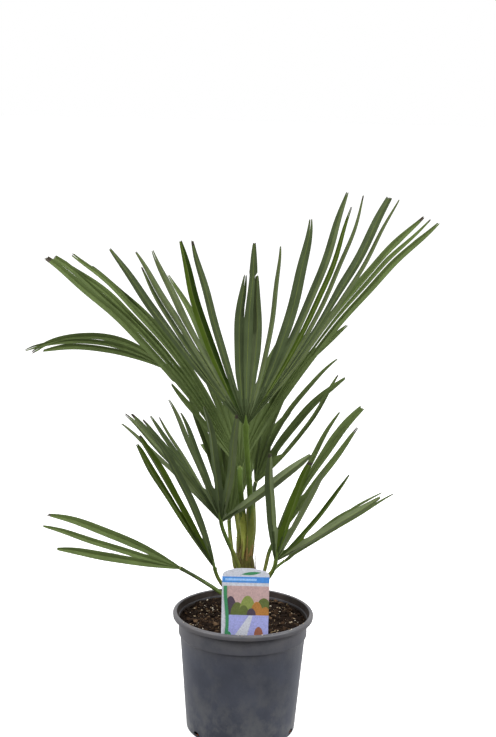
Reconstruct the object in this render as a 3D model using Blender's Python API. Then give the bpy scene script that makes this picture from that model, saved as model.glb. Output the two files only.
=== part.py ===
"""A young European fan palm in a nursery pot.

Every sub-part is one object: the pot, the peat, the stem, the plant label, and for each frond its petiole and
its blade. Metres, +Z up, origin at the centre of the pot's flat underside, the photographed side facing -Y.
"""

import math

import bmesh
import bpy
import numpy as np

# Driving dimensions
CLEARANCE = 0.0003
POT_HEIGHT = 0.1662
RIM_RADIUS = 0.0945
RIM_HEIGHT = 0.0075
RIM_LAND = 0.0055
RIM_ROUNDING = 0.003
RIM_DRAFT = 0.0003
RIM_CHAMFER = 0.0012
UNDERCUT = 0.0005
BODY_TOP_RADIUS = 0.0862
COLLAR_STEP = 0.0021
COLLAR_FOOT = 0.1352
STEP_SLOPE = 0.002
FOOT_RADIUS = 0.0731
FOOT_ROUNDING = 0.0048
WALL = 0.0018
POT_SIDES = 48
DRAIN_HOLES = 6
DRAIN_START = 0.62
DRAIN_HALF_WIDTH = 0.0065
DRAIN_HALF_HEIGHT = 0.0042
DRAIN_LEVEL = 0.0062
DRAIN_INSIDE = 0.012
DRAIN_OUTSIDE = 0.006
DRAIN_SIDES = 12

SOIL_LEVEL = 0.153
SOIL_SIDES = 32

STEM_FOOT = (0.002, 0.0)
STEM_TOP = (0.0015, 0.0)
STEM_TOP_LEVEL = 0.262
STEM_FOOT_RADIUS = 0.0165
STEM_TOP_RADIUS = 0.0112
STEM_FLARE = 0.0035
FLARE_SHARE = 0.25
STEM_SHARES = (0.0, 0.06, 0.14, 0.25, 0.5, 0.75, 1.0)
STEM_SIDES = 16

LABEL_WIDTH = 0.0612
LABEL_CENTRE = (0.0025, -0.0765)
LABEL_TOP = 0.2525
LABEL_SHOULDER = 0.2405
LABEL_FOOT = 0.155
LABEL_THICKNESS = 0.001
LABEL_ARCH_STEPS = 8
LABEL_ARCH_SQUARENESS = 0.7
STAKE_WIDTH = 0.022
STAKE_END = 0.105

PETIOLE_SIDES = 8
PETIOLE_STEPS = 9
START_HANDLE = 0.36
END_HANDLE = 0.30

HALF_WIDTH = 0.0064
HUB_WIDTH_SHARE = 0.24
WIDEST_SHARE = 0.42
TIP_POWER = 4
FOLD = math.radians(25)
LEAN = math.radians(1.1)
RIB_STEPS = 48
FIRST_ROW = 0.009
ROWS = 8
LAST_ROW_SHARE = 0.86
JOINED_SHARE = 0.42
NOTCH_HALF_GAP = 0.0006
NARROWEST_HALF = 0.0006
BLADE_SHARE = 0.0101

# A frond: its hub, the heading and rise of its middle line, its roll about that line, the angle by which its
# leaflets lift off the blade's plane, how much more they lift for each degree from the middle, the angle by
# which they arch over, and how late they arch.
# A leaflet: angle in the fan, length in millimetres, sideways bend, width against the usual, extra lift.
FRONDS = {
    "front_high": dict(
        hub=(0.003, -0.030, 0.430), heading=-90, rise=80, roll=0, lift=2, cupping=0.25, arch=14, late=1.3,
        leaflets=(
            (-43, 290, 12, 1.0), (-42, 250, 18, 0.6), (-35, 270, 7, 0.8), (-34, 262, 14, 0.85),
            (-28, 262, 19, 1.1), (-18, 260, 6, 0.85), (-9, 210, 17, 1.1), (0, 255, 5, 1.1),
            (10, 210, -13, 1.1), (18, 250, -17, 0.55), (27, 290, -22, 1.2), (32, 335, -20, 1.05),
            (36, 320, -23, 0.6), (39, 340, -26, 0.5), (40, 350, -18, 1.15), (43, 355, -20, 0.5),
        ),
    ),
    "back_high": dict(
        hub=(-0.005, 0.004, 0.364), heading=90, rise=70, roll=0, lift=4, cupping=0.3, arch=12, late=1.3,
        leaflets=(
            (-28, 421, -22, 1.1), (-27, 418, -21, 0.65), (-26, 416, -20, 1.1), (-20, 242, -34, 0.9),
            (-16, 200, -16, 1.0), (-11, 175, -10, 1.0), (-2, 205, -5, 1.0), (6, 130, 0, 1.0),
            (9, 280, 23, 0.8), (15, 200, 16, 1.0), (21, 338, 32, 0.9), (24, 365, 29, 0.7), (26, 360, 30, 1.0),
            (29, 375, 26, 1.0), (32, 380, 23, 1.0), (38, 145, 4, 0.7),
        ),
    ),
    "right_back": dict(
        hub=(0.016, 0.020, 0.339), heading=50, rise=66, roll=0, lift=0, cupping=0.0, arch=16, late=1.3,
        leaflets=(
            (-37, 188, 40, 0.6, -7), (-19, 187, -14, 1.15), (-2, 202, -32, 0.75), (5, 170, -14, 0.9),
            (17, 160, -10, 0.9),
        ),
    ),
    "left_front": dict(
        hub=(-0.029, -0.036, 0.302), heading=-115, rise=72, roll=0, lift=4, cupping=0.15, arch=14, late=1.3,
        leaflets=(
            (-50, 185, 3, 0.7), (-45, 190, 5, 0.9), (-41, 185, 3, 1.0), (-38, 170, 4, 0.9),
            (-34, 170, 7, 0.8), (-31, 165, 11, 0.45), (-18, 185, 5, 0.7), (-14, 165, 4, 0.8),
            (2, 180, 0, 1.0), (17, 175, -4, 0.9), (58, 155, -10, 1.1, 14),
        ),
    ),
    "right_low": dict(
        hub=(0.043, -0.040, 0.250), heading=-72, rise=74, roll=0, lift=0, cupping=0.15, arch=10, late=1.3,
        leaflets=(
            (-10, 175, 1, 1.1), (9, 158, 3, 1.0), (26, 150, -9, 0.75), (53, 153, -31, 0.65),
            (69, 165, -12, 1.0),
        ),
    ),
    "right_mid": dict(
        hub=(0.039, 0.000, 0.259), heading=0, rise=58, roll=60, lift=0, cupping=0.0, arch=12, late=1.3,
        leaflets=((-1, 196, 0, 0.8), (10, 221, -16, 1.3), (12, 200, -6, 0.7)),
    ),
    "right_thin": dict(
        hub=(0.055, 0.045, 0.221), heading=10, rise=34, roll=10, lift=2, cupping=0.0, arch=10, late=1.3,
        leaflets=((-10, 178, 12, 0.8), (0, 166, 9, 0.8), (5, 130, 6, 0.7)),
    ),
    "left_low": dict(
        hub=(-0.037, -0.036, 0.238), heading=-105, rise=66, roll=0, lift=4, cupping=0.0, arch=16, late=1.3,
        leaflets=((-27, 225, 15, 1.1), (-23, 238, 13, 1.1), (-8, 235, -9, 0.95)),
    ),
    "left_lowest": dict(
        hub=(-0.083, -0.010, 0.229), heading=182, rise=30, roll=-68, lift=0, cupping=0.0, arch=10, late=1.3,
        leaflets=((-2, 193, 16, 1.0), (11, 193, 0, 0.75), (19, 168, 0, 1.0)),
    ),
    "left_drooping": dict(
        hub=(-0.105, 0.066, 0.484), heading=180, rise=36, roll=-80, lift=0, cupping=0.0, arch=8, late=1.3,
        leaflets=((-11, 198, 80, 0.9), (0, 200, 56, 0.8), (7, 172, 40, 0.8)),
    ),
    "left_back": dict(
        hub=(-0.019, 0.010, 0.289), heading=100, rise=80, roll=0, lift=4, cupping=0.0, arch=14, late=1.3,
        leaflets=(
            (-22, 135, 6, 0.9), (-9, 145, 3, 0.9), (2, 150, 0, 0.9), (8, 150, 3, 0.9), (12, 180, 8, 1.0),
        ),
    ),
    "back_mid": dict(
        hub=(0.011, 0.055, 0.358), heading=75, rise=52, roll=0, lift=4, cupping=0.2, arch=26, late=1.3,
        leaflets=(
            (-23, 90, -10, 0.9), (-11, 100, 2, 0.9), (1, 115, 6, 1.0), (13, 115, 7, 1.0), (27, 110, 10, 0.9),
        ),
    ),
    "back_low": dict(
        hub=(-0.008, 0.060, 0.315), heading=112, rise=44, roll=0, lift=4, cupping=0.2, arch=30, late=1.3,
        leaflets=(
            (-40, 100, 6, 0.9), (-25, 120, 2, 1.0), (-10, 130, -6, 1.0), (8, 115, -13, 1.0),
            (28, 90, -17, 0.9),
        ),
    ),
}

# A petiole: where it leaves the stem (bearing, and height on its side or None on its top), its distance from
# the stem's axis there if it leaves the top, its radius there and at its blade, and how steeply it starts.
PETIOLES = {
    "front_high": dict(bearing=-38, height=None, reach=0.0068, radius=0.0042, tip=0.0038, steepness=86),
    "back_high": dict(bearing=200, height=None, reach=0.0030, radius=0.0042, tip=0.0036, steepness=88),
    "right_back": dict(bearing=25, height=None, reach=0.0084, radius=0.0034, tip=0.0026, steepness=80),
    "back_mid": dict(bearing=75, height=None, reach=0.0082, radius=0.0026, tip=0.0023, steepness=76),
    "back_low": dict(bearing=115, height=0.222, reach=0.0, radius=0.0028, tip=0.0023, steepness=52),
    "left_drooping": dict(bearing=128, height=None, reach=0.0082, radius=0.0026, tip=0.0023, steepness=70),
    "left_back": dict(bearing=190, height=0.240, reach=0.0, radius=0.0030, tip=0.0025, steepness=76),
    "left_front": dict(bearing=-112, height=0.222, reach=0.0, radius=0.0032, tip=0.0025, steepness=70),
    "right_low": dict(bearing=-48, height=0.196, reach=0.0, radius=0.0030, tip=0.0027, steepness=45),
    "right_mid": dict(bearing=-5, height=0.205, reach=0.0, radius=0.0028, tip=0.0025, steepness=52),
    "right_thin": dict(bearing=40, height=0.190, reach=0.0, radius=0.0024, tip=0.0020, steepness=40),
    "left_low": dict(bearing=-140, height=0.186, reach=0.0, radius=0.0028, tip=0.0025, steepness=48),
    "left_lowest": dict(bearing=178, height=0.180, reach=0.0, radius=0.0028, tip=0.0025, steepness=36),
}

# Colours
POT_COLOUR = (0.045, 0.050, 0.058)
SOIL_COLOUR = (0.035, 0.022, 0.014)
STEM_COLOUR = (0.20, 0.24, 0.06)
PETIOLE_COLOUR = (0.13, 0.20, 0.05)
LEAF_COLOUR = (0.07, 0.13, 0.035)
LABEL_COLOUR = (0.62, 0.64, 0.72)


def clear_scene():
    for thing in list(bpy.data.objects):
        bpy.data.objects.remove(thing, do_unlink=True)


def make_material(name, colour, roughness):
    material = bpy.data.materials.new(name)
    material.use_nodes = True
    shader = material.node_tree.nodes["Principled BSDF"]
    shader.inputs["Base Color"].default_value = (*colour, 1.0)
    shader.inputs["Roughness"].default_value = roughness
    shader.inputs["Metallic"].default_value = 0.0
    return material


def add_object(name, points, faces, material, smooth=False):
    mesh = bpy.data.meshes.new(name)
    mesh.from_pydata([tuple(map(float, point)) for point in points], [], faces)
    mesh.materials.append(material)
    if smooth:
        mesh.shade_smooth()
    thing = bpy.data.objects.new(name, mesh)
    bpy.context.collection.objects.link(thing)
    return thing


def turned(name, outline, sides, material):
    """A closed outline of (radius, height) points, down its outer side, turned about Z"""
    mesh = bpy.data.meshes.new(name)
    shape = bmesh.new()
    corners = [shape.verts.new((radius, 0.0, height)) for radius, height in outline]
    edges = [shape.edges.new(pair) for pair in zip(corners, corners[1:])]
    bmesh.ops.spin(
        shape, geom=corners + edges, cent=(0, 0, 0), axis=(0, 0, 1), angle=2 * math.pi, steps=sides,
        use_merge=True, use_duplicate=False,
    )
    bmesh.ops.remove_doubles(shape, verts=shape.verts, dist=1e-6)
    bmesh.ops.recalc_face_normals(shape, faces=shape.faces)
    shape.to_mesh(mesh)
    shape.free()
    mesh.materials.append(material)
    mesh.shade_smooth()
    mesh.set_sharp_from_angle(angle=math.radians(35))
    thing = bpy.data.objects.new(name, mesh)
    bpy.context.collection.objects.link(thing)
    return thing


def make_cutter(name, points, faces):
    cutter = add_object(name, points, faces, None)
    cutter.data.materials.clear()
    cutter.hide_render = True
    cutter.display_type = "WIRE"
    return cutter


def cut(thing, cutter):
    modifier = thing.modifiers.new("cut", "BOOLEAN")
    modifier.operation = "DIFFERENCE"
    modifier.solver = "EXACT"
    modifier.object = cutter


def box(low, high):
    points = [(x, y, z) for x in (low[0], high[0]) for y in (low[1], high[1]) for z in (low[2], high[2])]
    faces = [(0, 1, 3, 2), (4, 6, 7, 5), (0, 4, 5, 1), (2, 3, 7, 6), (0, 2, 6, 4), (1, 5, 7, 3)]
    return points, faces


def wall_radius(height):
    """The pot body's outer radius"""
    share = height / (POT_HEIGHT - RIM_HEIGHT)
    return FOOT_RADIUS + (BODY_TOP_RADIUS - FOOT_RADIUS) * share


def pot_outline():
    """Over the rolled rim, down the collar and the wall, round the foot, and back up the inside"""
    rim_foot = POT_HEIGHT - RIM_HEIGHT
    outline = [(RIM_RADIUS - RIM_LAND + RIM_CHAMFER, POT_HEIGHT)]
    for turn in (60, 30, 0):
        angle = math.radians(turn)
        radius = RIM_RADIUS - RIM_ROUNDING * (1 - math.cos(angle))
        outline.append((radius, POT_HEIGHT - RIM_ROUNDING * (1 - math.sin(angle))))
    outline.append((RIM_RADIUS - RIM_DRAFT, rim_foot))
    outline.append((BODY_TOP_RADIUS, rim_foot - UNDERCUT))
    outline.append((wall_radius(COLLAR_FOOT) + COLLAR_STEP, COLLAR_FOOT))
    outline.append((wall_radius(COLLAR_FOOT), COLLAR_FOOT - UNDERCUT))
    for turn in range(0, 91, 30):
        angle = math.radians(turn)
        radius = wall_radius(FOOT_ROUNDING) - FOOT_ROUNDING * (1 - math.cos(angle))
        outline.append((radius, FOOT_ROUNDING * (1 - math.sin(angle))))
    outline.append((0.0, 0.0))
    outline.append((0.0, WALL))
    outline.append((wall_radius(WALL) - FOOT_ROUNDING, WALL))
    outline.append((inner_radius(FOOT_ROUNDING), FOOT_ROUNDING + WALL))
    outline.append((inner_radius(COLLAR_FOOT), COLLAR_FOOT))
    outline.append((inner_radius(COLLAR_FOOT) + COLLAR_STEP, COLLAR_FOOT + STEP_SLOPE))
    outline.append((inner_radius(rim_foot), rim_foot))
    outline.append((RIM_RADIUS - RIM_LAND, POT_HEIGHT - RIM_CHAMFER))
    outline.append(outline[0])
    return outline


def inner_radius(height):
    """The inside follows the outside, and steps out with the collar"""
    collar = COLLAR_STEP if height > COLLAR_FOOT else 0.0
    return wall_radius(height) + collar - WALL


def make_pot(material):
    """The turned pot, with oval drain holes cut through the foot of its wall"""
    pot = turned("pot", pot_outline(), POT_SIDES, material)
    points, faces = [], []
    for hole in range(DRAIN_HOLES):
        bearing = 2 * math.pi * (hole + DRAIN_START) / DRAIN_HOLES
        out = np.array([math.cos(bearing), math.sin(bearing), 0.0])
        across = np.array([-math.sin(bearing), math.cos(bearing), 0.0])
        first = len(points)
        for reach in (FOOT_RADIUS - DRAIN_INSIDE, FOOT_RADIUS + DRAIN_OUTSIDE):
            for corner in range(DRAIN_SIDES):
                angle = 2 * math.pi * corner / DRAIN_SIDES
                side = across * DRAIN_HALF_WIDTH * math.cos(angle)
                level = DRAIN_LEVEL + DRAIN_HALF_HEIGHT * math.sin(angle)
                points.append(out * reach + side + np.array([0, 0, level]))
        tube_faces(faces, 2, DRAIN_SIDES, first)
    cut(pot, make_cutter("drain_cutter", points, faces))
    return pot


def make_soil(material):
    """The peat fills the pot to a finger's width under the rim, with a slot for the label's stake"""
    low = WALL + CLEARANCE
    outline = [
        (0.0, SOIL_LEVEL),
        (inner_radius(SOIL_LEVEL) - 2 * CLEARANCE, SOIL_LEVEL),
        (inner_radius(COLLAR_FOOT) + COLLAR_STEP - 2 * CLEARANCE, COLLAR_FOOT + STEP_SLOPE + CLEARANCE),
        (inner_radius(COLLAR_FOOT) - 2 * CLEARANCE, COLLAR_FOOT + CLEARANCE),
        (inner_radius(FOOT_ROUNDING + WALL) - 2 * CLEARANCE, FOOT_ROUNDING + WALL + CLEARANCE),
        (wall_radius(WALL) - FOOT_ROUNDING - 4 * CLEARANCE, low),
        (0.0, low),
    ]
    soil = turned("soil", outline, SOIL_SIDES, material)
    half_width = STAKE_WIDTH / 2 + CLEARANCE
    half_depth = LABEL_THICKNESS / 2 + CLEARANCE
    low_corner = (LABEL_CENTRE[0] - half_width, LABEL_CENTRE[1] - half_depth, STAKE_END - CLEARANCE)
    high_corner = (LABEL_CENTRE[0] + half_width, LABEL_CENTRE[1] + half_depth, POT_HEIGHT)
    cut(soil, make_cutter("label_slot_cutter", *box(low_corner, high_corner)))
    return soil


def label_outline():
    """The card's outline as (x, z): an arched head, straight sides and a stake, anticlockwise"""
    half = LABEL_WIDTH / 2
    stake = STAKE_WIDTH / 2
    outline = [(-stake, STAKE_END), (stake, STAKE_END), (stake, LABEL_FOOT), (half, LABEL_FOOT)]
    rise = LABEL_TOP - LABEL_SHOULDER
    for step in range(LABEL_ARCH_STEPS + 1):
        angle = math.pi * step / LABEL_ARCH_STEPS
        arch = max(0.0, math.sin(angle)) ** LABEL_ARCH_SQUARENESS
        outline.append((half * math.cos(angle), LABEL_SHOULDER + rise * arch))
    outline.append((-half, LABEL_FOOT))
    outline.append((-stake, LABEL_FOOT))
    return outline


def make_label(material):
    outline = label_outline()
    count = len(outline)
    front = LABEL_CENTRE[1] - LABEL_THICKNESS / 2
    back = LABEL_CENTRE[1] + LABEL_THICKNESS / 2
    points = [(LABEL_CENTRE[0] + x, front, z) for x, z in outline]
    points += [(LABEL_CENTRE[0] + x, back, z) for x, z in outline]
    faces = [tuple(range(count)), tuple(reversed(range(count, 2 * count)))]
    for corner in range(count):
        after = (corner + 1) % count
        faces.append((corner, corner + count, after + count, after))
    return add_object("label", points, faces, material)


def stem_radius(height):
    """A root flare that runs out a quarter of the way up, then a slow taper"""
    share = (height - SOIL_LEVEL) / (STEM_TOP_LEVEL - SOIL_LEVEL)
    flare = STEM_FLARE * max(0.0, 1 - share / FLARE_SHARE) ** 2
    return STEM_FOOT_RADIUS + (STEM_TOP_RADIUS - STEM_FOOT_RADIUS) * share + flare


def stem_centre(height):
    share = (height - SOIL_LEVEL) / (STEM_TOP_LEVEL - SOIL_LEVEL)
    x = STEM_FOOT[0] + (STEM_TOP[0] - STEM_FOOT[0]) * share
    y = STEM_FOOT[1] + (STEM_TOP[1] - STEM_FOOT[1]) * share
    return np.array([x, y, height])


def make_stem(material):
    foot = SOIL_LEVEL + CLEARANCE
    levels = [foot + (STEM_TOP_LEVEL - foot) * share for share in STEM_SHARES]
    points, faces = [], []
    for level in levels:
        for corner in range(STEM_SIDES):
            angle = 2 * math.pi * corner / STEM_SIDES
            reach = stem_radius(level) * np.array([math.cos(angle), math.sin(angle), 0.0])
            points.append(stem_centre(level) + reach)
    tube_faces(faces, len(levels), STEM_SIDES)
    return add_object("stem", points, faces, material, smooth=True)


def tube_faces(faces, rings, sides, first=0):
    """Adds the sides and both ends of a tube whose rings of points follow each other from the first"""
    for ring in range(rings - 1):
        for corner in range(sides):
            after = (corner + 1) % sides
            low = first + ring * sides
            high = low + sides
            faces.append((low + corner, low + after, high + after, high + corner))
    last = first + (rings - 1) * sides
    faces.append(tuple(first + corner for corner in reversed(range(sides))))
    faces.append(tuple(last + corner for corner in range(sides)))


def unit(vector):
    return vector / np.linalg.norm(vector)


def leaned(vector):
    """The vector after the whole plant's lean towards -X"""
    x, y, z = vector
    return np.array([x * math.cos(LEAN) - z * math.sin(LEAN), y, x * math.sin(LEAN) + z * math.cos(LEAN)])


def hub_of(frond):
    foot = np.array([*STEM_FOOT, SOIL_LEVEL])
    return foot + leaned(np.array(frond["hub"]) - foot)


def frond_axes(frond):
    """The blade's middle line, its side and its upper face's normal"""
    heading, rise, roll = (math.radians(frond[key]) for key in ("heading", "rise", "roll"))
    flat = math.cos(rise)
    middle = np.array([flat * math.cos(heading), flat * math.sin(heading), math.sin(rise)])
    side = np.array([-math.sin(heading), math.cos(heading), 0.0])
    normal = np.cross(middle, side)
    turned_side = side * math.cos(roll) + normal * math.sin(roll)
    turned_normal = normal * math.cos(roll) - side * math.sin(roll)
    return leaned(middle), leaned(turned_side), leaned(turned_normal)


def leaflet_line(frond, leaflet, distances):
    """The rib's points at these distances from the hub, and there its direction, side and upward normal"""
    angle, length, bend = leaflet[0], leaflet[1] / 1000, leaflet[2]
    lift = frond["lift"] + frond["cupping"] * abs(angle) + (leaflet[4] if len(leaflet) > 4 else 0)
    middle, side, normal = frond_axes(frond)

    def directions(shares):
        turn = np.radians(angle + bend * shares)[:, None]
        climb = np.radians(lift - frond["arch"] * shares ** frond["late"])[:, None]
        along = np.cos(climb) * (np.cos(turn) * middle + np.sin(turn) * side) + np.sin(climb) * normal
        across = -np.sin(turn) * middle + np.cos(turn) * side
        return along, across

    along, _ = directions((np.arange(RIB_STEPS) + 0.5) / RIB_STEPS)
    path = hub_of(frond) + np.vstack([np.zeros(3), np.cumsum(along * length / RIB_STEPS, axis=0)])
    grid = np.linspace(0, length, RIB_STEPS + 1)
    points = np.stack([np.interp(distances, grid, path[:, axis]) for axis in range(3)], axis=-1)
    along, across = directions(np.clip(np.asarray(distances) / length, 0, 1))
    return points, along, across, np.cross(along, across)


def leaflet_half_width(leaflet, distance):
    """Widens from the hub to two fifths of the length, then narrows to the tip"""
    share = distance / (leaflet[1] / 1000)
    spread = math.sin(math.pi / 2 * min(1.0, share / WIDEST_SHARE))
    growth = HUB_WIDTH_SHARE + (1 - HUB_WIDTH_SHARE) * spread
    ending = 1 - max(0.0, (share - WIDEST_SHARE) / (1 - WIDEST_SHARE)) ** TIP_POWER
    return HALF_WIDTH * leaflet[3] * growth * ending


def make_blade(name, material):
    """One closed sheet: leaflets side by side, joined at their margins near the hub and free beyond"""
    frond = FRONDS[name]
    leaflets = frond["leaflets"]
    longest = max(leaflet[1] for leaflet in leaflets) / 1000
    thickness = BLADE_SHARE * longest
    rows = np.append(FIRST_ROW, FIRST_ROW + (longest - FIRST_ROW) * np.arange(1, ROWS) / ROWS)
    points, faces = [], []

    def add(point, up):
        points.append(point + up * thickness / 2)
        points.append(point - up * thickness / 2)
        return len(points) - 2

    def sheet(*corners):
        faces.append(tuple(corners))
        faces.append(tuple(corner + 1 for corner in reversed(corners)))

    def wall(start, end):
        faces.append((start, end, end + 1, start + 1))

    lines, counts = [], []
    for leaflet in leaflets:
        length = leaflet[1] / 1000
        count = int(np.sum(rows < LAST_ROW_SHARE * length))
        lines.append(leaflet_line(frond, leaflet, np.append(rows[:count], length)))
        counts.append(count)

    def margin(index, row, sign, limit=None):
        spot, _, across, up = (part[row] for part in lines[index])
        half = leaflet_half_width(leaflets[index], rows[row])
        reach = half * math.cos(FOLD)
        if limit is not None:
            reach = min(reach, limit)
        return add(spot + sign * reach * across + half * math.sin(FOLD) * up, up)

    ribs = [[add(line[0][row], line[3][row]) for row in range(count)] for line, count in zip(lines, counts)]
    tips = [add(line[0][-1], line[3][-1]) for line in lines]
    left = [[None] * count for count in counts]
    right = [[None] * count for count in counts]
    joined = []
    for index in range(len(leaflets) - 1):
        shared = min(counts[index], counts[index + 1])
        shortest = min(leaflets[index][1], leaflets[index + 1][1]) / 1000
        still_joined, last = True, 0
        for row in range(shared):
            here, there = lines[index], lines[index + 1]
            spacing = np.linalg.norm(there[0][row] - here[0][row])
            halves = [leaflet_half_width(leaflets[k], rows[row]) for k in (index, index + 1)]
            natural = sum(halves) / 2 * math.cos(FOLD)
            too_far = row > 0 and (spacing / 2 > natural or rows[row] > JOINED_SHARE * shortest)
            still_joined = still_joined and not too_far
            if still_joined:
                up = unit(here[3][row] + there[3][row])
                rise = sum(halves) / 2 * math.sin(FOLD)
                vertex = add((here[0][row] + there[0][row]) / 2 + rise * up, up)
                right[index][row] = left[index + 1][row] = vertex
                last = row
            else:
                limit = max(spacing / 2 - NOTCH_HALF_GAP, NARROWEST_HALF)
                right[index][row] = margin(index, row, 1, limit)
                left[index + 1][row] = margin(index + 1, row, -1, limit)
        joined.append(last)
    for index, count in enumerate(counts):
        for row in range(count):
            if left[index][row] is None:
                left[index][row] = margin(index, row, -1)
            if right[index][row] is None:
                right[index][row] = margin(index, row, 1)

    for index, count in enumerate(counts):
        rib, before, after = ribs[index], left[index], right[index]
        for row in range(count - 1):
            sheet(before[row], before[row + 1], rib[row + 1], rib[row])
            sheet(rib[row], rib[row + 1], after[row + 1], after[row])
            if index == 0 or row >= joined[index - 1]:
                wall(before[row + 1], before[row])
            if index == len(leaflets) - 1 or row >= joined[index]:
                wall(after[row], after[row + 1])
        last, tip = count - 1, tips[index]
        sheet(before[last], tip, rib[last])
        sheet(rib[last], tip, after[last])
        wall(tip, before[last])
        wall(after[last], tip)

    heel(name, add, sheet, wall, left, ribs, right)
    return add_object("frond_" + name, points, faces, material)


def heel(name, add, sheet, wall, left, ribs, right):
    """Closes the blade on the end of the petiole: a short base line as wide as it, fanned to the first row"""
    _, side, normal = frond_axes(FRONDS[name])
    hub = hub_of(FRONDS[name])
    low, high = (add(hub + sign * PETIOLES[name]["tip"] * side, normal) for sign in (-1, 1))
    row = [left[0][0]]
    for rib, after in zip(ribs, right):
        row += [rib[0], after[0]]
    middle = len(row) // 2
    for corner in range(middle):
        sheet(low, row[corner], row[corner + 1])
    sheet(low, row[middle], high)
    for corner in range(middle, len(row) - 1):
        sheet(high, row[corner], row[corner + 1])
    wall(low, high)
    wall(row[0], low)
    wall(high, row[-1])


def petiole_curve(name):
    """A cubic from the stem to just short of the blade's base line, and its start and end directions"""
    frond, petiole = FRONDS[name], PETIOLES[name]
    bearing, steepness = math.radians(petiole["bearing"]), math.radians(petiole["steepness"])
    out = np.array([math.cos(bearing), math.sin(bearing), 0.0])
    start_way = out * math.cos(steepness) + np.array([0, 0, math.sin(steepness)])
    if petiole["height"] is None:
        start = stem_centre(STEM_TOP_LEVEL) + out * petiole["reach"]
        start = start + np.array([0, 0, CLEARANCE + petiole["radius"] * math.cos(steepness)])
    else:
        level = petiole["height"]
        reach = stem_radius(level) + CLEARANCE + petiole["radius"] * math.sin(steepness)
        start = stem_centre(level) + out * reach
    middle, _, _ = frond_axes(frond)
    end = hub_of(frond) - middle * CLEARANCE
    span = np.linalg.norm(end - start)
    handles = start, start + start_way * span * START_HANDLE, end - middle * span * END_HANDLE, end
    shares = np.linspace(0, 1, PETIOLE_STEPS)[:, None]
    keep = 1 - shares
    path = keep ** 3 * handles[0] + 3 * keep ** 2 * shares * handles[1]
    path = path + 3 * keep * shares ** 2 * handles[2] + shares ** 3 * handles[3]
    return path, start_way, middle


def make_petiole(name, material):
    """A round limb that narrows from the stem to its blade"""
    path, start_way, end_way = petiole_curve(name)
    petiole = PETIOLES[name]
    _, side, _ = frond_axes(FRONDS[name])
    ways = np.gradient(path, axis=0)
    ways[0], ways[-1] = start_way, end_way
    points, faces = [], []
    for step, (spot, way) in enumerate(zip(path, ways)):
        share = step / (PETIOLE_STEPS - 1)
        radius = petiole["radius"] * (1 - share) + petiole["tip"] * share
        way = unit(way)
        across = unit(side - way * np.dot(side, way))
        upward = np.cross(way, across)
        for corner in range(PETIOLE_SIDES):
            angle = 2 * math.pi * (corner + 0.5) / PETIOLE_SIDES
            points.append(spot + radius * (math.cos(angle) * across + math.sin(angle) * upward))
    tube_faces(faces, PETIOLE_STEPS, PETIOLE_SIDES)
    return add_object("petiole_" + name, points, faces, material, smooth=True)


def main():
    clear_scene()
    make_pot(make_material("pot_plastic", POT_COLOUR, 0.45))
    make_soil(make_material("peat", SOIL_COLOUR, 0.95))
    make_label(make_material("label_card", LABEL_COLOUR, 0.35))
    make_stem(make_material("stem_fibre", STEM_COLOUR, 0.6))
    petiole_material = make_material("petiole_skin", PETIOLE_COLOUR, 0.45)
    leaf_material = make_material("leaf", LEAF_COLOUR, 0.45)
    for name in FRONDS:
        make_petiole(name, petiole_material)
        make_blade(name, leaf_material)


main()
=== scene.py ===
"""The looks of a young European fan palm in a nursery pot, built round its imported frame.

Metres, +Z up, origin at the centre of the pot's flat underside, the photographed side facing -Y.
"""

import math
from collections import namedtuple

import bmesh
import bpy
import numpy as np
from mathutils import Matrix, Vector, noise


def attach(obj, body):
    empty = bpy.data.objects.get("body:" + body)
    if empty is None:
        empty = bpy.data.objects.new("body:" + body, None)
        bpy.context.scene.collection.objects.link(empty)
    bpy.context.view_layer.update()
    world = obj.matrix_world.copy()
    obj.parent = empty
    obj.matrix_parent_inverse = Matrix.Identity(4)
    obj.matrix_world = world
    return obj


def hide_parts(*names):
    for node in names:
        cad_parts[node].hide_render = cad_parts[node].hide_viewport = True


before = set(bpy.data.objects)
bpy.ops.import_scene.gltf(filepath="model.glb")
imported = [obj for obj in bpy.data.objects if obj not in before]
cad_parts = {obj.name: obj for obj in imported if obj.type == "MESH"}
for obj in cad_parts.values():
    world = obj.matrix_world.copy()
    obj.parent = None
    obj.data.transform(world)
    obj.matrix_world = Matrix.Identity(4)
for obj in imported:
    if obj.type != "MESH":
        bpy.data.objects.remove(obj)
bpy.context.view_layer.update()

# The photograph's camera
CAMERA_SPOT = (-0.0014, -2.09, 0.94)
CAMERA_DIP = 11.9
CAMERA_ROLL = 1.4
CAMERA_LENS = 80.0
CAMERA_SENSOR = 36.0

# The studio's even light: low down, overhead and added behind, and its lamps as (spot, size, power)
WORLD_LOW = 0.22
WORLD_HIGH = 0.43
WORLD_BACK = 0.75
LAMPS = {
    "right": ((1.9, -1.1, 1.7), 1.3, 54.0), "left": ((-1.9, -1.0, 1.5), 1.3, 44.0),
    "top": ((0.1, -0.3, 2.7), 1.6, 30.0),
}
LAMP_AIM = (0, 0, 0.38)

UP = np.array([0.0, 0.0, 1.0])

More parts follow.
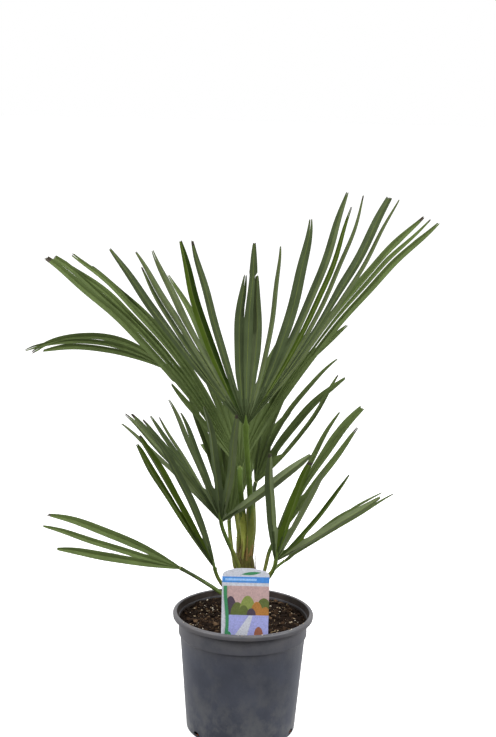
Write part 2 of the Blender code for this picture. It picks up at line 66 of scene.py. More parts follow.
# The pot, as the source gives it
POT_HEIGHT = 0.1662
RIM_RADIUS = 0.0945
RIM_HEIGHT = 0.0075
RIM_LAND = 0.0055
RIM_ROUNDING = 0.003
RIM_DRAFT = 0.0003
RIM_CHAMFER = 0.0012
UNDERCUT = 0.0005
BODY_TOP_RADIUS = 0.0862
COLLAR_STEP = 0.0021
COLLAR_FOOT = 0.1352
STEP_SLOPE = 0.002
FOOT_RADIUS = 0.0731
FOOT_ROUNDING = 0.0048
WALL = 0.0018
DRAIN_HOLES = 6
DRAIN_START = 0.62
DRAIN_HALF_WIDTH = 0.0065
DRAIN_HALF_HEIGHT = 0.0042
DRAIN_LEVEL = 0.0062
POT_SIDES = 160
POT_BLUE_GREY = (0.064, 0.070, 0.092)
POT_DUST = (0.135, 0.124, 0.118)
POT_SMUDGE = (0.118, 0.120, 0.126)
POT_SCUFF = (0.160, 0.164, 0.166)

# The peat, and how much lies on it
SOIL_LEVEL = 0.153
SOIL_SIDES = 200
SOIL_CIRCLES = 70
CRUMBS = 1500
GRAIN_TRIES = 900
GRAINS = 300
RIM_GRAINS = 16
LITTER = 130
STEM_CLEAR = 0.0195
CARD_CLEAR = 0.002

# The stem
STEM_FOOT = (0.002, 0.0)
STEM_TOP = (0.0015, 0.0)
STEM_TOP_LEVEL = 0.262
STEM_FOOT_RADIUS = 0.0165
STEM_TOP_RADIUS = 0.0112
STEM_FLARE = 0.0035
FLARE_SHARE = 0.25
STEM_SIDES = 120
STEM_LEVELS = 110
STEM_THREADS = 110

# The label
LABEL_WIDTH = 0.0612
LABEL_CENTRE = (0.0025, -0.0765)
LABEL_TOP = 0.2525
LABEL_SHOULDER = 0.2405
LABEL_FOOT = 0.155
LABEL_THICKNESS = 0.001
LABEL_ARCH_SQUARENESS = 0.7
STAKE_WIDTH = 0.022
STAKE_END = 0.105
PRINT_LAYER = 0.00004

# The petioles, with their sheaths below and their keels under the blade: reach, drop and share of the radius
CLEARANCE = 0.0003
START_HANDLE = 0.36
END_HANDLE = 0.30
PETIOLE_SIDES = 26
PETIOLE_STEPS = 60
SHEATH = 0.040
SHEATH_STEPS = 16
SHEATH_HALF_WIDTH = 0.0074
SHEATH_HALF_DEPTH = 0.0026
KEEL = ((0.004, 0.0012, 0.72), (0.009, 0.0018, 0.5), (0.016, 0.0016, 0.2))
SPINE_SPACING = 0.009

# The leaflets
HALF_WIDTH = 0.0064
HUB_WIDTH_SHARE = 0.24
WIDEST_SHARE = 0.42
TIP_POWER = 4
TIP_NARROWING = 0.75
FRAYED_NARROWING = 0.45
TIP_CUT = 0.0022
FOLD = math.radians(25)
LEAN = math.radians(1.1)
LATE = 1.3
RIB_STEPS = 48
JOINED_SHARE = 0.42
WEB_REACH = 0.050
WEB_STRETCH = 1.8
NOTCH_HALF_GAP = 0.0006
LEAF_THICKNESS = 0.00045
FIRST_ROW = 0.0025
ROW_STEP = 0.005
STRIPS = 5
STRIP_COORD = 0.0015
RIB_HALF_WIDTH = 0.00032

# A frond: its hub, the heading and rise of its middle line, the angle by which it arches over, its leaflets,
# its roll about that line, the angle by which its leaflets lift off the blade's plane, and how much more
# they lift for each degree from the middle.
# A leaflet: angle in the fan, length in millimetres, sideways bend, width against the usual, extra lift.
Frond = namedtuple("Frond", "hub heading rise arch leaflets roll lift cupping", defaults=(0, 4, 0.0))
FRONDS = {
    "front_high": Frond((0.003, -0.030, 0.430), -90, 80, 14, (
        (-43, 290, 12, 1.0), (-42, 250, 18, 0.6), (-35, 270, 7, 0.8), (-34, 262, 14, 0.85),
        (-28, 262, 19, 1.1), (-18, 260, 6, 0.85), (-9, 210, 17, 1.1), (0, 255, 5, 1.1),
        (10, 210, -13, 1.1), (18, 250, -17, 0.55), (27, 290, -22, 1.2), (32, 335, -20, 1.05),
        (36, 320, -23, 0.6), (39, 340, -26, 0.5), (40, 350, -18, 1.15), (43, 355, -20, 0.5),
    ), lift=2, cupping=0.25),
    "back_high": Frond((-0.005, 0.004, 0.364), 90, 70, 12, (
        (-28, 421, -22, 1.1), (-27, 418, -21, 0.65), (-26, 416, -20, 1.1), (-20, 242, -34, 0.9),
        (-16, 200, -16, 1.0), (-11, 175, -10, 1.0), (-2, 205, -5, 1.0), (6, 130, 0, 1.0),
        (9, 280, 23, 0.8), (15, 200, 16, 1.0), (21, 338, 32, 0.9), (24, 365, 29, 0.7), (26, 360, 30, 1.0),
        (29, 375, 26, 1.0), (32, 380, 23, 1.0), (38, 145, 4, 0.7),
    ), cupping=0.3),
    "right_back": Frond((0.016, 0.020, 0.339), 50, 66, 16, (
        (-37, 188, 40, 0.6, -7), (-19, 187, -14, 1.15), (-2, 202, -32, 0.75), (5, 170, -14, 0.9),
        (17, 160, -10, 0.9),
    ), lift=0),
    "left_front": Frond((-0.029, -0.036, 0.302), -115, 72, 14, (
        (-50, 185, 3, 0.7), (-45, 190, 5, 0.9), (-41, 185, 3, 1.0), (-38, 170, 4, 0.9),
        (-34, 170, 7, 0.8), (-31, 165, 11, 0.45), (-18, 185, 5, 0.7), (-14, 165, 4, 0.8),
        (2, 180, 0, 1.0), (17, 175, -4, 0.9), (58, 155, -10, 1.1, 14),
    ), cupping=0.15),
    "right_low": Frond((0.043, -0.040, 0.250), -72, 74, 10, (
        (-10, 175, 1, 1.1), (9, 158, 3, 1.0), (26, 150, -9, 0.75), (53, 153, -31, 0.65),
        (69, 165, -12, 1.0),
    ), lift=0, cupping=0.15),
    "right_mid": Frond((0.039, 0.000, 0.259), 0, 58, 12, (
        (-1, 196, 0, 0.8), (10, 221, -16, 1.3), (12, 200, -6, 0.7),
    ), roll=60, lift=0),
    "right_thin": Frond((0.055, 0.045, 0.221), 10, 34, 10, (
        (-10, 178, 12, 0.8), (0, 166, 9, 0.8), (5, 130, 6, 0.7),
    ), roll=10, lift=2),
    "left_low": Frond((-0.037, -0.036, 0.238), -105, 66, 16, (
        (-27, 225, 15, 1.1), (-23, 238, 13, 1.1), (-8, 235, -9, 0.95),
    )),
    "left_lowest": Frond((-0.083, -0.010, 0.229), 182, 30, 10, (
        (-2, 193, 16, 1.0), (11, 193, 0, 0.75), (19, 168, 0, 1.0),
    ), roll=-68, lift=0),
    "left_drooping": Frond((-0.105, 0.066, 0.484), 180, 36, 8, (
        (-11, 198, 80, 0.9), (0, 200, 56, 0.8), (7, 172, 40, 0.8),
    ), roll=-80, lift=0),
    "left_back": Frond((-0.019, 0.010, 0.289), 100, 80, 14, (
        (-22, 135, 6, 0.9), (-9, 145, 3, 0.9), (2, 150, 0, 0.9), (8, 150, 3, 0.9), (12, 180, 8, 1.0),
    )),
    "back_mid": Frond((0.011, 0.055, 0.358), 75, 52, 26, (
        (-23, 90, -10, 0.9), (-11, 100, 2, 0.9), (1, 115, 6, 1.0), (13, 115, 7, 1.0), (27, 110, 10, 0.9),
    ), cupping=0.2),
    "back_low": Frond((-0.008, 0.060, 0.315), 112, 44, 30, (
        (-40, 100, 6, 0.9), (-25, 120, 2, 1.0), (-10, 130, -6, 1.0), (8, 115, -13, 1.0), (28, 90, -17, 0.9),
    ), cupping=0.2),
}

# A petiole: where it leaves the stem and how steeply it starts, its radius there and at its blade, its
# distance from the stem's axis if it leaves the top, and its height if it leaves the side.
Petiole = namedtuple("Petiole", "bearing steepness radius tip reach height", defaults=(0.0, None))
PETIOLES = {
    "front_high": Petiole(-38, 86, 0.0042, 0.0038, 0.0068),
    "back_high": Petiole(200, 88, 0.0042, 0.0036, 0.0030),
    "right_back": Petiole(25, 80, 0.0034, 0.0026, 0.0084),
    "back_mid": Petiole(75, 76, 0.0026, 0.0023, 0.0082),
    "back_low": Petiole(115, 52, 0.0028, 0.0023, height=0.222),
    "left_drooping": Petiole(128, 70, 0.0026, 0.0023, 0.0082),
    "left_back": Petiole(190, 76, 0.0030, 0.0025, height=0.240),
    "left_front": Petiole(-112, 70, 0.0032, 0.0025, height=0.222),
    "right_low": Petiole(-48, 45, 0.0030, 0.0027, height=0.196),
    "right_mid": Petiole(-5, 52, 0.0028, 0.0025, height=0.205),
    "right_thin": Petiole(40, 40, 0.0024, 0.0020, height=0.190),
    "left_low": Petiole(-140, 48, 0.0028, 0.0025, height=0.186),
    "left_lowest": Petiole(178, 36, 0.0028, 0.0025, height=0.180),
}

# Leaflets joined to the next one further than the usual share of their length, and those with a frayed end
LONG_JOINED = {("front_high", 6): 0.72, ("front_high", 7): 0.60}
FRAYED = {"back_high": (11, 12, 13, 14), "right_mid": (1,), "right_low": (1,), "front_high": (14,)}

# The petioles' colours at the foot, low down and above
LIMB_TONES = {
    "back_high": ("orange", "yellow", "green"), "front_high": ("orange", "olive", "green"),
    "right_back": ("rust", "olive", "dark"), "left_lowest": ("rust", "green", "dark"),
}
USUAL_LIMB_TONES = ("rust", "olive", "green")

# The slots of a blade's colours; the fold's slot is painted shade in the pleats near the hub
BLOOM, SLATE, GREEN, DEEP, FOLD_PAINTED_SHADE, RIB, BROWN, UNDER = range(8)

# How each frond's leaflets share out the four tones of their upper face: bloom, slate, green and deep. Then
# those whose tone is set, the share with one half darkened as painted shade, and that half's slot for each
# tone.
TONES = {
    "front_high": (0.50, 0.38, 0.10, 0.02), "back_high": (0.03, 0.07, 0.56, 0.34),
    "right_back": (0.05, 0.40, 0.10, 0.45), "left_front": (0.78, 0.18, 0.04, 0.0),
    "right_low": (0.45, 0.25, 0.27, 0.03), "right_mid": (0.10, 0.30, 0.40, 0.20),
    "right_thin": (0.10, 0.50, 0.20, 0.20), "left_low": (0.0, 0.15, 0.72, 0.13),
    "left_lowest": (0.10, 0.40, 0.30, 0.20), "left_drooping": (0.05, 0.35, 0.30, 0.30),
    "left_back": (0.10, 0.50, 0.15, 0.25), "back_mid": (0.10, 0.20, 0.50, 0.20),
    "back_low": (0.10, 0.20, 0.50, 0.20),
}
TONED = {
    ("front_high", 5): SLATE, ("front_high", 6): SLATE, ("front_high", 7): SLATE, ("front_high", 8): BLOOM,
}
HALF_PAINTED_SHADE = 0.48
PAINTED_SHADE_TONE = {BLOOM: SLATE, SLATE: SLATE, GREEN: DEEP, DEEP: DEEP}

# Colours by name, in the order of their slots. A leaf colour has its roughness and shine, and any other its
# roughness, speckle, grain scale, relief and shine. The rib's and the tip's stand before the underside's.
LEAF_COLOURS = {
    "leaf_bloom": ((0.130, 0.164, 0.074), 0.50, 0.20), "leaf_slate": ((0.078, 0.106, 0.044), 0.48, 0.16),
    "leaf_green": ((0.072, 0.116, 0.012), 0.46, 0.09), "leaf_deep": ((0.030, 0.057, 0.006), 0.44, 0.09),
    # The fold colour is a darker green painted as the shade in the pleats' valleys near the hub
    "leaf_fold": ((0.042, 0.060, 0.020), 0.5, 0.10), "leaf_under": ((0.080, 0.112, 0.034), 0.55, 0.12),
}
VEIN_COLOURS = {
    "leaf_rib": ((0.135, 0.175, 0.046), 0.5, 0.12, 400.0, 0.0002, 0.15),
    "leaf_tip": ((0.062, 0.052, 0.038), 0.6, 0.3, 400.0, 0.0002, 0.15),
}
LIMB_COLOURS = {
    "limb_rust": ((0.150, 0.072, 0.028), 0.6, 0.35, 220.0),
    "limb_orange": ((0.300, 0.185, 0.060), 0.55, 0.4, 240.0),
    "limb_yellow": ((0.300, 0.330, 0.055), 0.45, 0.22, 160.0),
    "limb_olive": ((0.160, 0.182, 0.034), 0.45, 0.22, 160.0),
    "limb_green": ((0.090, 0.142, 0.024), 0.42, 0.18, 160.0),
    "limb_dark": ((0.040, 0.062, 0.012), 0.42, 0.18, 160.0),
    "spine_brown": ((0.045, 0.030, 0.015), 0.4, 0.2),
    "hastula_pale": ((0.200, 0.230, 0.080), 0.5, 0.2, 200.0),
    "hastula_rust": ((0.150, 0.075, 0.030), 0.5, 0.2, 200.0),
}
STEM_COLOURS = {
    "stem_brown": (0.135, 0.068, 0.028), "stem_russet": (0.230, 0.125, 0.050),
    "stem_green": (0.165, 0.158, 0.038),
}
FIBRE_COLOURS = {"fibre_brown": ((0.085, 0.048, 0.022), 0.7), "fibre_tan": ((0.260, 0.180, 0.095), 0.7)}
CRUMB_COLOURS = {
    "crumb_dark": ((0.015, 0.009, 0.006), 0.95, 0.4, 1200.0, 0.0004, 0.1),
    "crumb_brown": ((0.042, 0.024, 0.013), 0.9, 0.4, 1200.0, 0.0004, 0.1),
    "crumb_light": ((0.110, 0.068, 0.038), 0.9, 0.4, 1200.0, 0.0004, 0.1),
}
GRAIN_COLOURS = {
    "grain_white": ((0.58, 0.52, 0.42), 0.85, 0.12, 2000.0),
    "grain_cream": ((0.36, 0.28, 0.18), 0.85, 0.2, 2000.0),
}
LITTER_COLOURS = {
    "bark_bit": ((0.110, 0.062, 0.034), 0.85, 0.3), "straw_bit": ((0.230, 0.170, 0.090), 0.8, 0.3),
}
PRINT_COLOURS = {
    "card_lilac": (0.590, 0.610, 0.680), "card_blue": (0.075, 0.270, 0.700),
    "card_green": (0.055, 0.250, 0.110), "card_pink": (0.520, 0.360, 0.350),
    "card_orange": (0.420, 0.190, 0.050), "card_olive": (0.120, 0.150, 0.045),
    "card_violet": (0.360, 0.380, 0.720), "card_pale_blue": (0.330, 0.560, 0.900),
    "card_moss": (0.240, 0.290, 0.080), "card_plum": (0.080, 0.060, 0.085),
    "card_clay": (0.330, 0.130, 0.080),
}


class Shape:
    """Gathers the points, faces, material numbers and surface coordinates of one piece"""

    def __init__(self):
        self.points, self.faces, self.slots, self.coords = [], [], [], []

    def point(self, place):
        self.points.append(np.asarray(place, float))
        return len(self.points) - 1

    def face(self, corners, slot=0, coords=None):
        """A face, unless its corners fall together into fewer than three"""
        corners = tuple(dict.fromkeys(corners))
        if len(corners) > 2:
            self.faces.append(corners)
            self.slots.append(slot)
            self.coords.append(coords or [(0.0, 0.0)] * len(corners))

    def take(self, points, faces, slot=0):
        """Adds a small ready body"""
        first = len(self.points)
        self.points.extend(points)
        for corners in faces:
            self.face([first + corner for corner in corners], slot)

    def ring(self, centre, one, other, sides, turn=0.0):
        """The numbers of points round a centre, from one half axis towards the other"""
        angles = [2 * math.pi * (side + turn) / sides for side in range(sides)]
        return [self.point(centre + math.cos(angle) * one + math.sin(angle) * other) for angle in angles]

    def join(self, here, there, slot=0):
        """Faces between two rings. The slot is a number, or a rule for each side"""
        for side in range(len(here)):
            after = (side + 1) % len(here)
            number = slot(side) if callable(slot) else slot
            self.face((here[side], here[after], there[after], there[side]), number)

    def close(self, rings, first=0, last=0):
        self.face(reversed(rings[0]), first)
        self.face(rings[-1], last)

    def tube(self, rings, slot=0):
        for here, there in zip(rings, rings[1:]):
            self.join(here, there, slot)
        self.close(rings, slot, slot)

    def prism(self, outline, front, back, slot=0):
        """An upright plate with this outline of (x, z) from the label's middle"""
        here, there = ([self.point((LABEL_CENTRE[0] + x, y, z)) for x, z in outline] for y in (front, back))
        self.close([there, here], slot, slot)
        for side in range(len(here)):
            after = (side + 1) % len(here)
            self.face((here[side], there[side], there[after], here[after]), slot)


def slot_of(name, colours):
    return list(colours).index(name)


def linked(name, data):
    thing = bpy.data.objects.new(name, data)
    bpy.context.collection.objects.link(thing)
    return thing


def mesh_of(name, shape):
    mesh = bpy.data.meshes.new(name)
    mesh.from_pydata([tuple(map(float, place)) for place in shape.points], [], shape.faces)
    return mesh


def make_piece(name, shape, materials, node=None, sharp=35):
    """A piece that stands in the frame, takes its slot and stands for its node"""
    mesh = mesh_of(name, shape)
    for material in materials:
        mesh.materials.append(material)
    mesh.polygons.foreach_set("material_index", shape.slots)
    flat = [value for corners in shape.coords for pair in corners for value in pair]
    mesh.uv_layers.new(name="surface").data.foreach_set("uv", flat)
    mesh.shade_smooth()
    mesh.set_sharp_from_angle(angle=math.radians(sharp))
    mesh.validate()
    mesh.update()
    piece = linked(name, mesh)
    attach(piece, "root")
    if node:
        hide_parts(node)
    return piece


def unit(vector):
    return vector / np.linalg.norm(vector)


def polar(radius, angle, height=0.0):
    return np.array([radius * math.cos(angle), radius * math.sin(angle), height])


def drain_bearings():
    return [2 * math.pi * (hole + DRAIN_START) / DRAIN_HOLES for hole in range(DRAIN_HOLES)]


def smooth_step(value, low, high):
    share = np.clip((value - low) / (high - low), 0.0, 1.0)
    return share * share * (3 - 2 * share)


# Materials


class Nodes:
    """Short ways to add nodes to a tree"""

    def __init__(self, tree):
        self.tree = tree

    def node(self, kind, links=None, **settings):
        made = self.tree.nodes.new(kind)
        for key, value in settings.items():
            setattr(made, key, value)
        for key, source in (links or {}).items():
            if isinstance(source, bpy.types.NodeSocket):
                self.tree.links.new(source, made.inputs[key])
            elif made.inputs[key].type == "RGBA":
                made.inputs[key].default_value = (*source, 1.0)
            else:
                made.inputs[key].default_value = source
        return made

    def ramp(self, value, low, high, start=0.0, end=1.0):
        """The value brought to its start at low and to its end at high"""
        links = {"Value": value, "From Min": low, "From Max": high, "To Min": start, "To Max": end}
        return self.node("ShaderNodeMapRange", links).outputs["Result"]

    def maths(self, operation, one, other):
        return self.node("ShaderNodeMath", {0: one, 1: other}, operation=operation).outputs[0]


class Paint(Nodes):
    """A Principled material and the nodes that lead to it"""

    def __init__(self, name, colour, roughness, **values):
        self.material = bpy.data.materials.new(name)
        self.material.use_nodes = True
        super().__init__(self.material.node_tree)
        self.shader = self.tree.nodes["Principled BSDF"]
        self.shader.inputs["Base Color"].default_value = (*colour, 1.0)
        self.shader.inputs["Roughness"].default_value = roughness
        for key, value in values.items():
            self.shader.inputs[key.replace("_", " ")].default_value = value

    def place(self, kind="Object"):
        return self.node("ShaderNodeTexCoord").outputs[kind]

    def noise(self, vector, scale, detail=3.0, roughness=0.55):
        """Noise of one scale, or stretched by three"""
        if isinstance(scale, tuple):
            vector = self.node("ShaderNodeMapping", {"Vector": vector, "Scale": scale}).outputs["Vector"]
            scale = 1.0
        links = {"Vector": vector, "Scale": scale, "Detail": detail, "Roughness": roughness}
        return self.node("ShaderNodeTexNoise", links).outputs["Fac"]

    def times(self, one, other):
        return self.maths("MULTIPLY", one, other)

    def mix(self, factor, one, other):
        return self.node("ShaderNodeMix", {0: factor, 6: one, 7: other}, data_type="RGBA").outputs[2]

    def link(self, source, key):
        self.tree.links.new(source, self.shader.inputs[key])

    def bump(self, height, distance, strength=1.0):
        links = {"Height": height, "Distance": distance, "Strength": strength}
        self.link(self.node("ShaderNodeBump", links).outputs["Normal"], "Normal")


def shade(colour, factor):
    return tuple(part * factor for part in colour)


def leaf_paint(name, colour, roughness, shine):
    """A leaf face: fine long veins, a mottled green and an uneven bloom"""
    paint = Paint(name, colour, roughness, Specular_IOR_Level=shine)
    patches = paint.noise(paint.place(), 38.0, 4.0)
    veins = paint.noise(paint.place("UV"), (900.0, 14.0, 1.0), 2.0)
    tone = paint.mix(paint.ramp(patches, 0.32, 0.68), shade(colour, 0.74), shade(colour, 1.18))
    paint.link(paint.mix(paint.ramp(veins, 0.35, 0.75), tone, shade(colour, 1.24)), "Base Color")
    paint.link(paint.ramp(patches, 0.0, 1.0, roughness - 0.07, roughness + 0.10), "Roughness")
    paint.bump(veins, 0.00018, 0.8)
    return paint.material


def plain_paint(name, colour, roughness, speckle=0.2, scale=400.0, relief=0.0002, shine=0.3):
    """One colour with fine speckle and grain"""
    paint = Paint(name, colour, roughness, Specular_IOR_Level=shine)
    grain = paint.noise(paint.place(), scale, 4.0, 0.6)
    tone = paint.mix(paint.ramp(grain, 0.3, 0.7), shade(colour, 1 - speckle), shade(colour, 1 + speckle))
    paint.link(tone, "Base Color")
    paint.bump(grain, relief)
    return paint.material


def fibre_paint(name, colour):
    """Fibres that run up the stem"""
    paint = Paint(name, colour, 0.65, Specular_IOR_Level=0.2)
    lines = paint.noise(paint.place(), (900.0, 900.0, 45.0), 3.0, 0.6)
    patches = paint.noise(paint.place(), 90.0, 3.0)
    tone = paint.mix(paint.ramp(patches, 0.35, 0.65), shade(colour, 0.7), shade(colour, 1.25))
    paint.link(paint.mix(paint.ramp(lines, 0.45, 0.75), tone, shade(colour, 0.45)), "Base Color")
    paint.bump(lines, 0.0005)
    return paint.material


def pot_paint():
    """Satin dark plastic: brownish dust about the rim, cloudy pale smudges, most of them towards the foot"""
    paint = Paint("pot_satin_plastic", POT_BLUE_GREY, 0.42, Specular_IOR_Level=0.42)
    place = paint.place()
    height = paint.node("ShaderNodeSeparateXYZ", {"Vector": place}).outputs["Z"]
    clouds = paint.noise(place, 22.0, 5.0, 0.6)
    smudges = paint.noise(place, (34.0, 34.0, 26.0), 6.0, 0.66)
    specks = paint.noise(place, 260.0, 4.0, 0.7)
    highlight_streaks = paint.noise(place, (60.0, 60.0, 900.0), 2.0, 0.5)
    dusty = paint.times(paint.ramp(height, 0.118, 0.160), paint.ramp(clouds, 0.20, 0.60))
    scuffed = paint.times(paint.ramp(height, 0.080, 0.010), paint.ramp(smudges, 0.44, 0.60))
    # Painted highlight: short pale streaks along the collar's lower edge stand for the light that the edge
    # catches
    near_collar = paint.times(paint.ramp(height, 0.128, 0.135), paint.ramp(height, 0.142, 0.136))
    painted_collar_highlight = paint.times(near_collar, paint.ramp(highlight_streaks, 0.60, 0.68))
    painted_collar_highlight = paint.times(painted_collar_highlight, paint.ramp(clouds, 0.5, 0.6))
    tone = paint.mix(paint.ramp(clouds, 0.3, 0.7), shade(POT_BLUE_GREY, 0.80), shade(POT_BLUE_GREY, 1.22))
    for cover, share, colour in (
        (dusty, 0.70, POT_DUST), (paint.ramp(smudges, 0.46, 0.66), 0.42, POT_SMUDGE),
        (scuffed, 0.55, POT_SCUFF), (painted_collar_highlight, 0.5, shade(POT_SCUFF, 1.6)),
        (paint.ramp(specks, 0.66, 0.72), 0.30, POT_SCUFF),
    ):
        tone = paint.mix(paint.times(cover, share), tone, colour)
    paint.link(tone, "Base Color")
    paint.link(paint.ramp(clouds, 0.0, 1.0, 0.36, 0.58), "Roughness")
    paint.bump(specks, 0.00012)
    return paint.material


def paint_all(kind, colours):
    return [kind(name, *row) for name, row in colours.items()]


# The leaflets' rule, as in the source, carried to finer rows


def leaned(vector):
    """The vector after the whole plant's lean towards -X"""
    x, y, z = vector
    return np.array([x * math.cos(LEAN) - z * math.sin(LEAN), y, x * math.sin(LEAN) + z * math.cos(LEAN)])


def hub_of(frond):
    foot = np.array([*STEM_FOOT, SOIL_LEVEL])
    return foot + leaned(np.array(frond.hub) - foot)


def frond_axes(frond):
    """The blade's middle line, its side and its upper face's normal"""
    heading, rise, roll = (math.radians(angle) for angle in (frond.heading, frond.rise, frond.roll))
    flat = math.cos(rise)
    middle = np.array([flat * math.cos(heading), flat * math.sin(heading), math.sin(rise)])
    side = np.array([-math.sin(heading), math.cos(heading), 0.0])
    normal = np.cross(middle, side)
    turned_side = side * math.cos(roll) + normal * math.sin(roll)
    turned_normal = normal * math.cos(roll) - side * math.sin(roll)
    return leaned(middle), leaned(turned_side), leaned(turned_normal)


def leaflet_line(frond, leaflet, distances):
    """The rib's points at these distances from the hub, and there its side and upward normal"""
    angle, length, bend = leaflet[0], leaflet[1] / 1000, leaflet[2]
    lift = frond.lift + frond.cupping * abs(angle) + (leaflet[4] if len(leaflet) > 4 else 0)
    middle, side, normal = frond_axes(frond)

    def directions(shares):
        turn = np.radians(angle + bend * shares)[:, None]
        climb = np.radians(lift - frond.arch * shares ** LATE)[:, None]
        along = np.cos(climb) * (np.cos(turn) * middle + np.sin(turn) * side) + np.sin(climb) * normal
        across = -np.sin(turn) * middle + np.cos(turn) * side
        return along, across

    along, _ = directions((np.arange(RIB_STEPS) + 0.5) / RIB_STEPS)
    path = hub_of(frond) + np.vstack([np.zeros(3), np.cumsum(along * length / RIB_STEPS, axis=0)])
    grid = np.linspace(0, length, RIB_STEPS + 1)
    points = np.stack([np.interp(distances, grid, path[:, axis]) for axis in range(3)], axis=-1)
    along, across = directions(np.clip(np.asarray(distances) / length, 0, 1))
    return points, across, np.cross(along, across)


def leaflet_half_width(leaflet, distance, narrowing):
    """Widens from the hub to two fifths of the length, then narrows to the blunt tip"""
    share = distance / (leaflet[1] / 1000)
    spread = math.sin(math.pi / 2 * min(1.0, share / WIDEST_SHARE))
    growth = HUB_WIDTH_SHARE + (1 - HUB_WIDTH_SHARE) * spread
    ending = 1 - narrowing * max(0.0, (share - WIDEST_SHARE) / (1 - WIDEST_SHARE)) ** TIP_POWER
    return HALF_WIDTH * leaflet[3] * growth * ending


class Blade:
    """A frond's blade as a middle surface of narrow strips, thickened into one closed sheet"""

    def __init__(self, name, seed):
        self.name, self.frond = name, FRONDS[name]
        self.leaflets, self.frayed = self.frond.leaflets, FRAYED.get(name, ())
        self.chance = np.random.default_rng(seed)
        self.shape = Shape()
        self.upper, self.lower = [], []
        longest = max(leaflet[1] for leaflet in self.leaflets) / 1000
        self.rows = np.arange(FIRST_ROW, longest, ROW_STEP)
        self.lines, self.distances, self.counts, self.splits = [], [], [], []
        for leaflet in self.leaflets:
            self.add_line(leaflet)
        self.notches = [self.notch(index) for index in range(len(self.leaflets) - 1)]

    def add_line(self, leaflet):
        """The rib's path with a slight sway and twist beyond the fused part"""
        length = leaflet[1] / 1000
        count = int(np.sum(self.rows < length - TIP_CUT - 0.5 * ROW_STEP))
        distances = np.append(self.rows[:count], (length - TIP_CUT, length))
        points, across, up = leaflet_line(self.frond, leaflet, distances)
        free = smooth_step(distances / length, 0.35, 1.0)[:, None]
        phase, twist = self.chance.uniform(0, 6.28), self.chance.uniform(-14, 14)
        sway = 0.0012 * np.sin(phase + distances[:, None] * 55) * free
        points = points + sway * across + 0.0015 * np.cos(phase + distances[:, None] * 38) * free * up
        turn = np.radians(twist) * free
        lean_across = across * np.cos(turn) + up * np.sin(turn)
        lean_up = up * np.cos(turn) - across * np.sin(turn)
        self.lines.append((points, lean_across, lean_up))
        self.distances.append(distances)
        self.counts.append(count + 1)
        split = self.chance.uniform(0.004, 0.020) if self.chance.random() < 0.55 else 0.0
        self.splits.append(int(np.sum(distances[:-1] < length - split)))

    def notch(self, index):
        """The last row at which two neighbours are one blade"""
        shortest = min(self.leaflets[index][1], self.leaflets[index + 1][1]) / 1000
        limit = LONG_JOINED.get((self.name, index), JOINED_SHARE) * shortest
        last = 0
        for row in range(min(self.counts[index], self.counts[index + 1]) - 1):
            spacing = np.linalg.norm(self.lines[index + 1][0][row] - self.lines[index][0][row])
            natural = self.usual_half(index, row) * math.cos(FOLD)
            stretch = WEB_STRETCH if self.rows[row] < WEB_REACH else 1.0
            if row and (spacing / 2 > natural * stretch or self.rows[row] > limit):
                break
            last = row
        return last

    def half_width(self, index, row):
        narrowing = FRAYED_NARROWING if index in self.frayed else TIP_NARROWING
        return leaflet_half_width(self.leaflets[index], self.distances[index][row], narrowing)

    def usual_half(self, index, row):
        return (self.half_width(index, row) + self.half_width(index + 1, row)) / 2

    def add(self, place, upper=0.0, lower=0.0):
        self.upper.append(LEAF_THICKNESS / 2 + upper)
        self.lower.append(LEAF_THICKNESS / 2 + lower)
        return self.shape.point(place)

    def shared_margin(self, index, row):
        """The crest where two neighbours meet, no steeper than a tight pleat"""
        here, there = self.lines[index], self.lines[index + 1]
        up = unit(here[2][row] + there[2][row])
        spacing = np.linalg.norm(there[0][row] - here[0][row])
        height = min(self.usual_half(index, row) * math.sin(FOLD), 0.6 * spacing)
        return (here[0][row] + there[0][row]) / 2 + height * up

    def free_margin(self, index, row, sign):
        spot, across, up = (part[row] for part in self.lines[index])
        half = self.half_width(index, row)
        reach = half * math.cos(FOLD)
        other = index + sign
        if 0 <= other < len(self.leaflets) and row < self.counts[other]:
            spacing = np.linalg.norm(self.lines[other][0][row] - spot)
            notch = self.notches[min(index, other)]
            gap = NOTCH_HALF_GAP * min(1.0, (row - notch) / 3)
            reach = min(reach, max(spacing / 2 - gap, NOTCH_HALF_GAP))
        return spot + sign * reach * across + half * math.sin(FOLD) * up

    def half_columns(self, index, ribs, margins):
        """Rows of points from the rib to one margin, each half slightly domed"""
        ups = self.lines[index][2]
        rows = []
        for row in range(self.counts[index]):
            rib, margin = self.shape.points[ribs[row]], self.shape.points[margins[row]]
            width = np.linalg.norm(margin - rib)
            rib_share = min(0.3, RIB_HALF_WIDTH / max(width, 1e-6))
            columns = [ribs[row]]
            for strip in range(STRIPS):
                share = rib_share + (1 - rib_share) * strip / STRIPS
                dome = 0.05 * width * 4 * share * (1 - share)
                place = rib + (margin - rib) * share + dome * ups[row]
                columns.append(self.add(place, upper=0.00008 * (strip % 2)))
            rows.append(columns + [margins[row]])
        return rows

    def build(self):
        edges = {}
        for index in range(len(self.leaflets)):
            margins = {sign: self.margin_column(index, sign, edges) for sign in (-1, 1)}
            self.leaflet(index, margins)
        return self.thicken()

    def margin_column(self, index, sign, edges):
        """The point numbers of one margin, shared with the neighbour as far as the notch"""
        column = []
        pair = index if sign > 0 else index - 1
        inner = 0 <= pair < len(self.notches)
        for row in range(self.counts[index]):
            if inner and row <= self.notches[pair]:
                if (pair, row) not in edges:
                    edges[pair, row] = self.add(self.shared_margin(pair, row))
                column.append(edges[pair, row])
            else:
                column.append(self.add(self.free_margin(index, row, sign)))
        return column

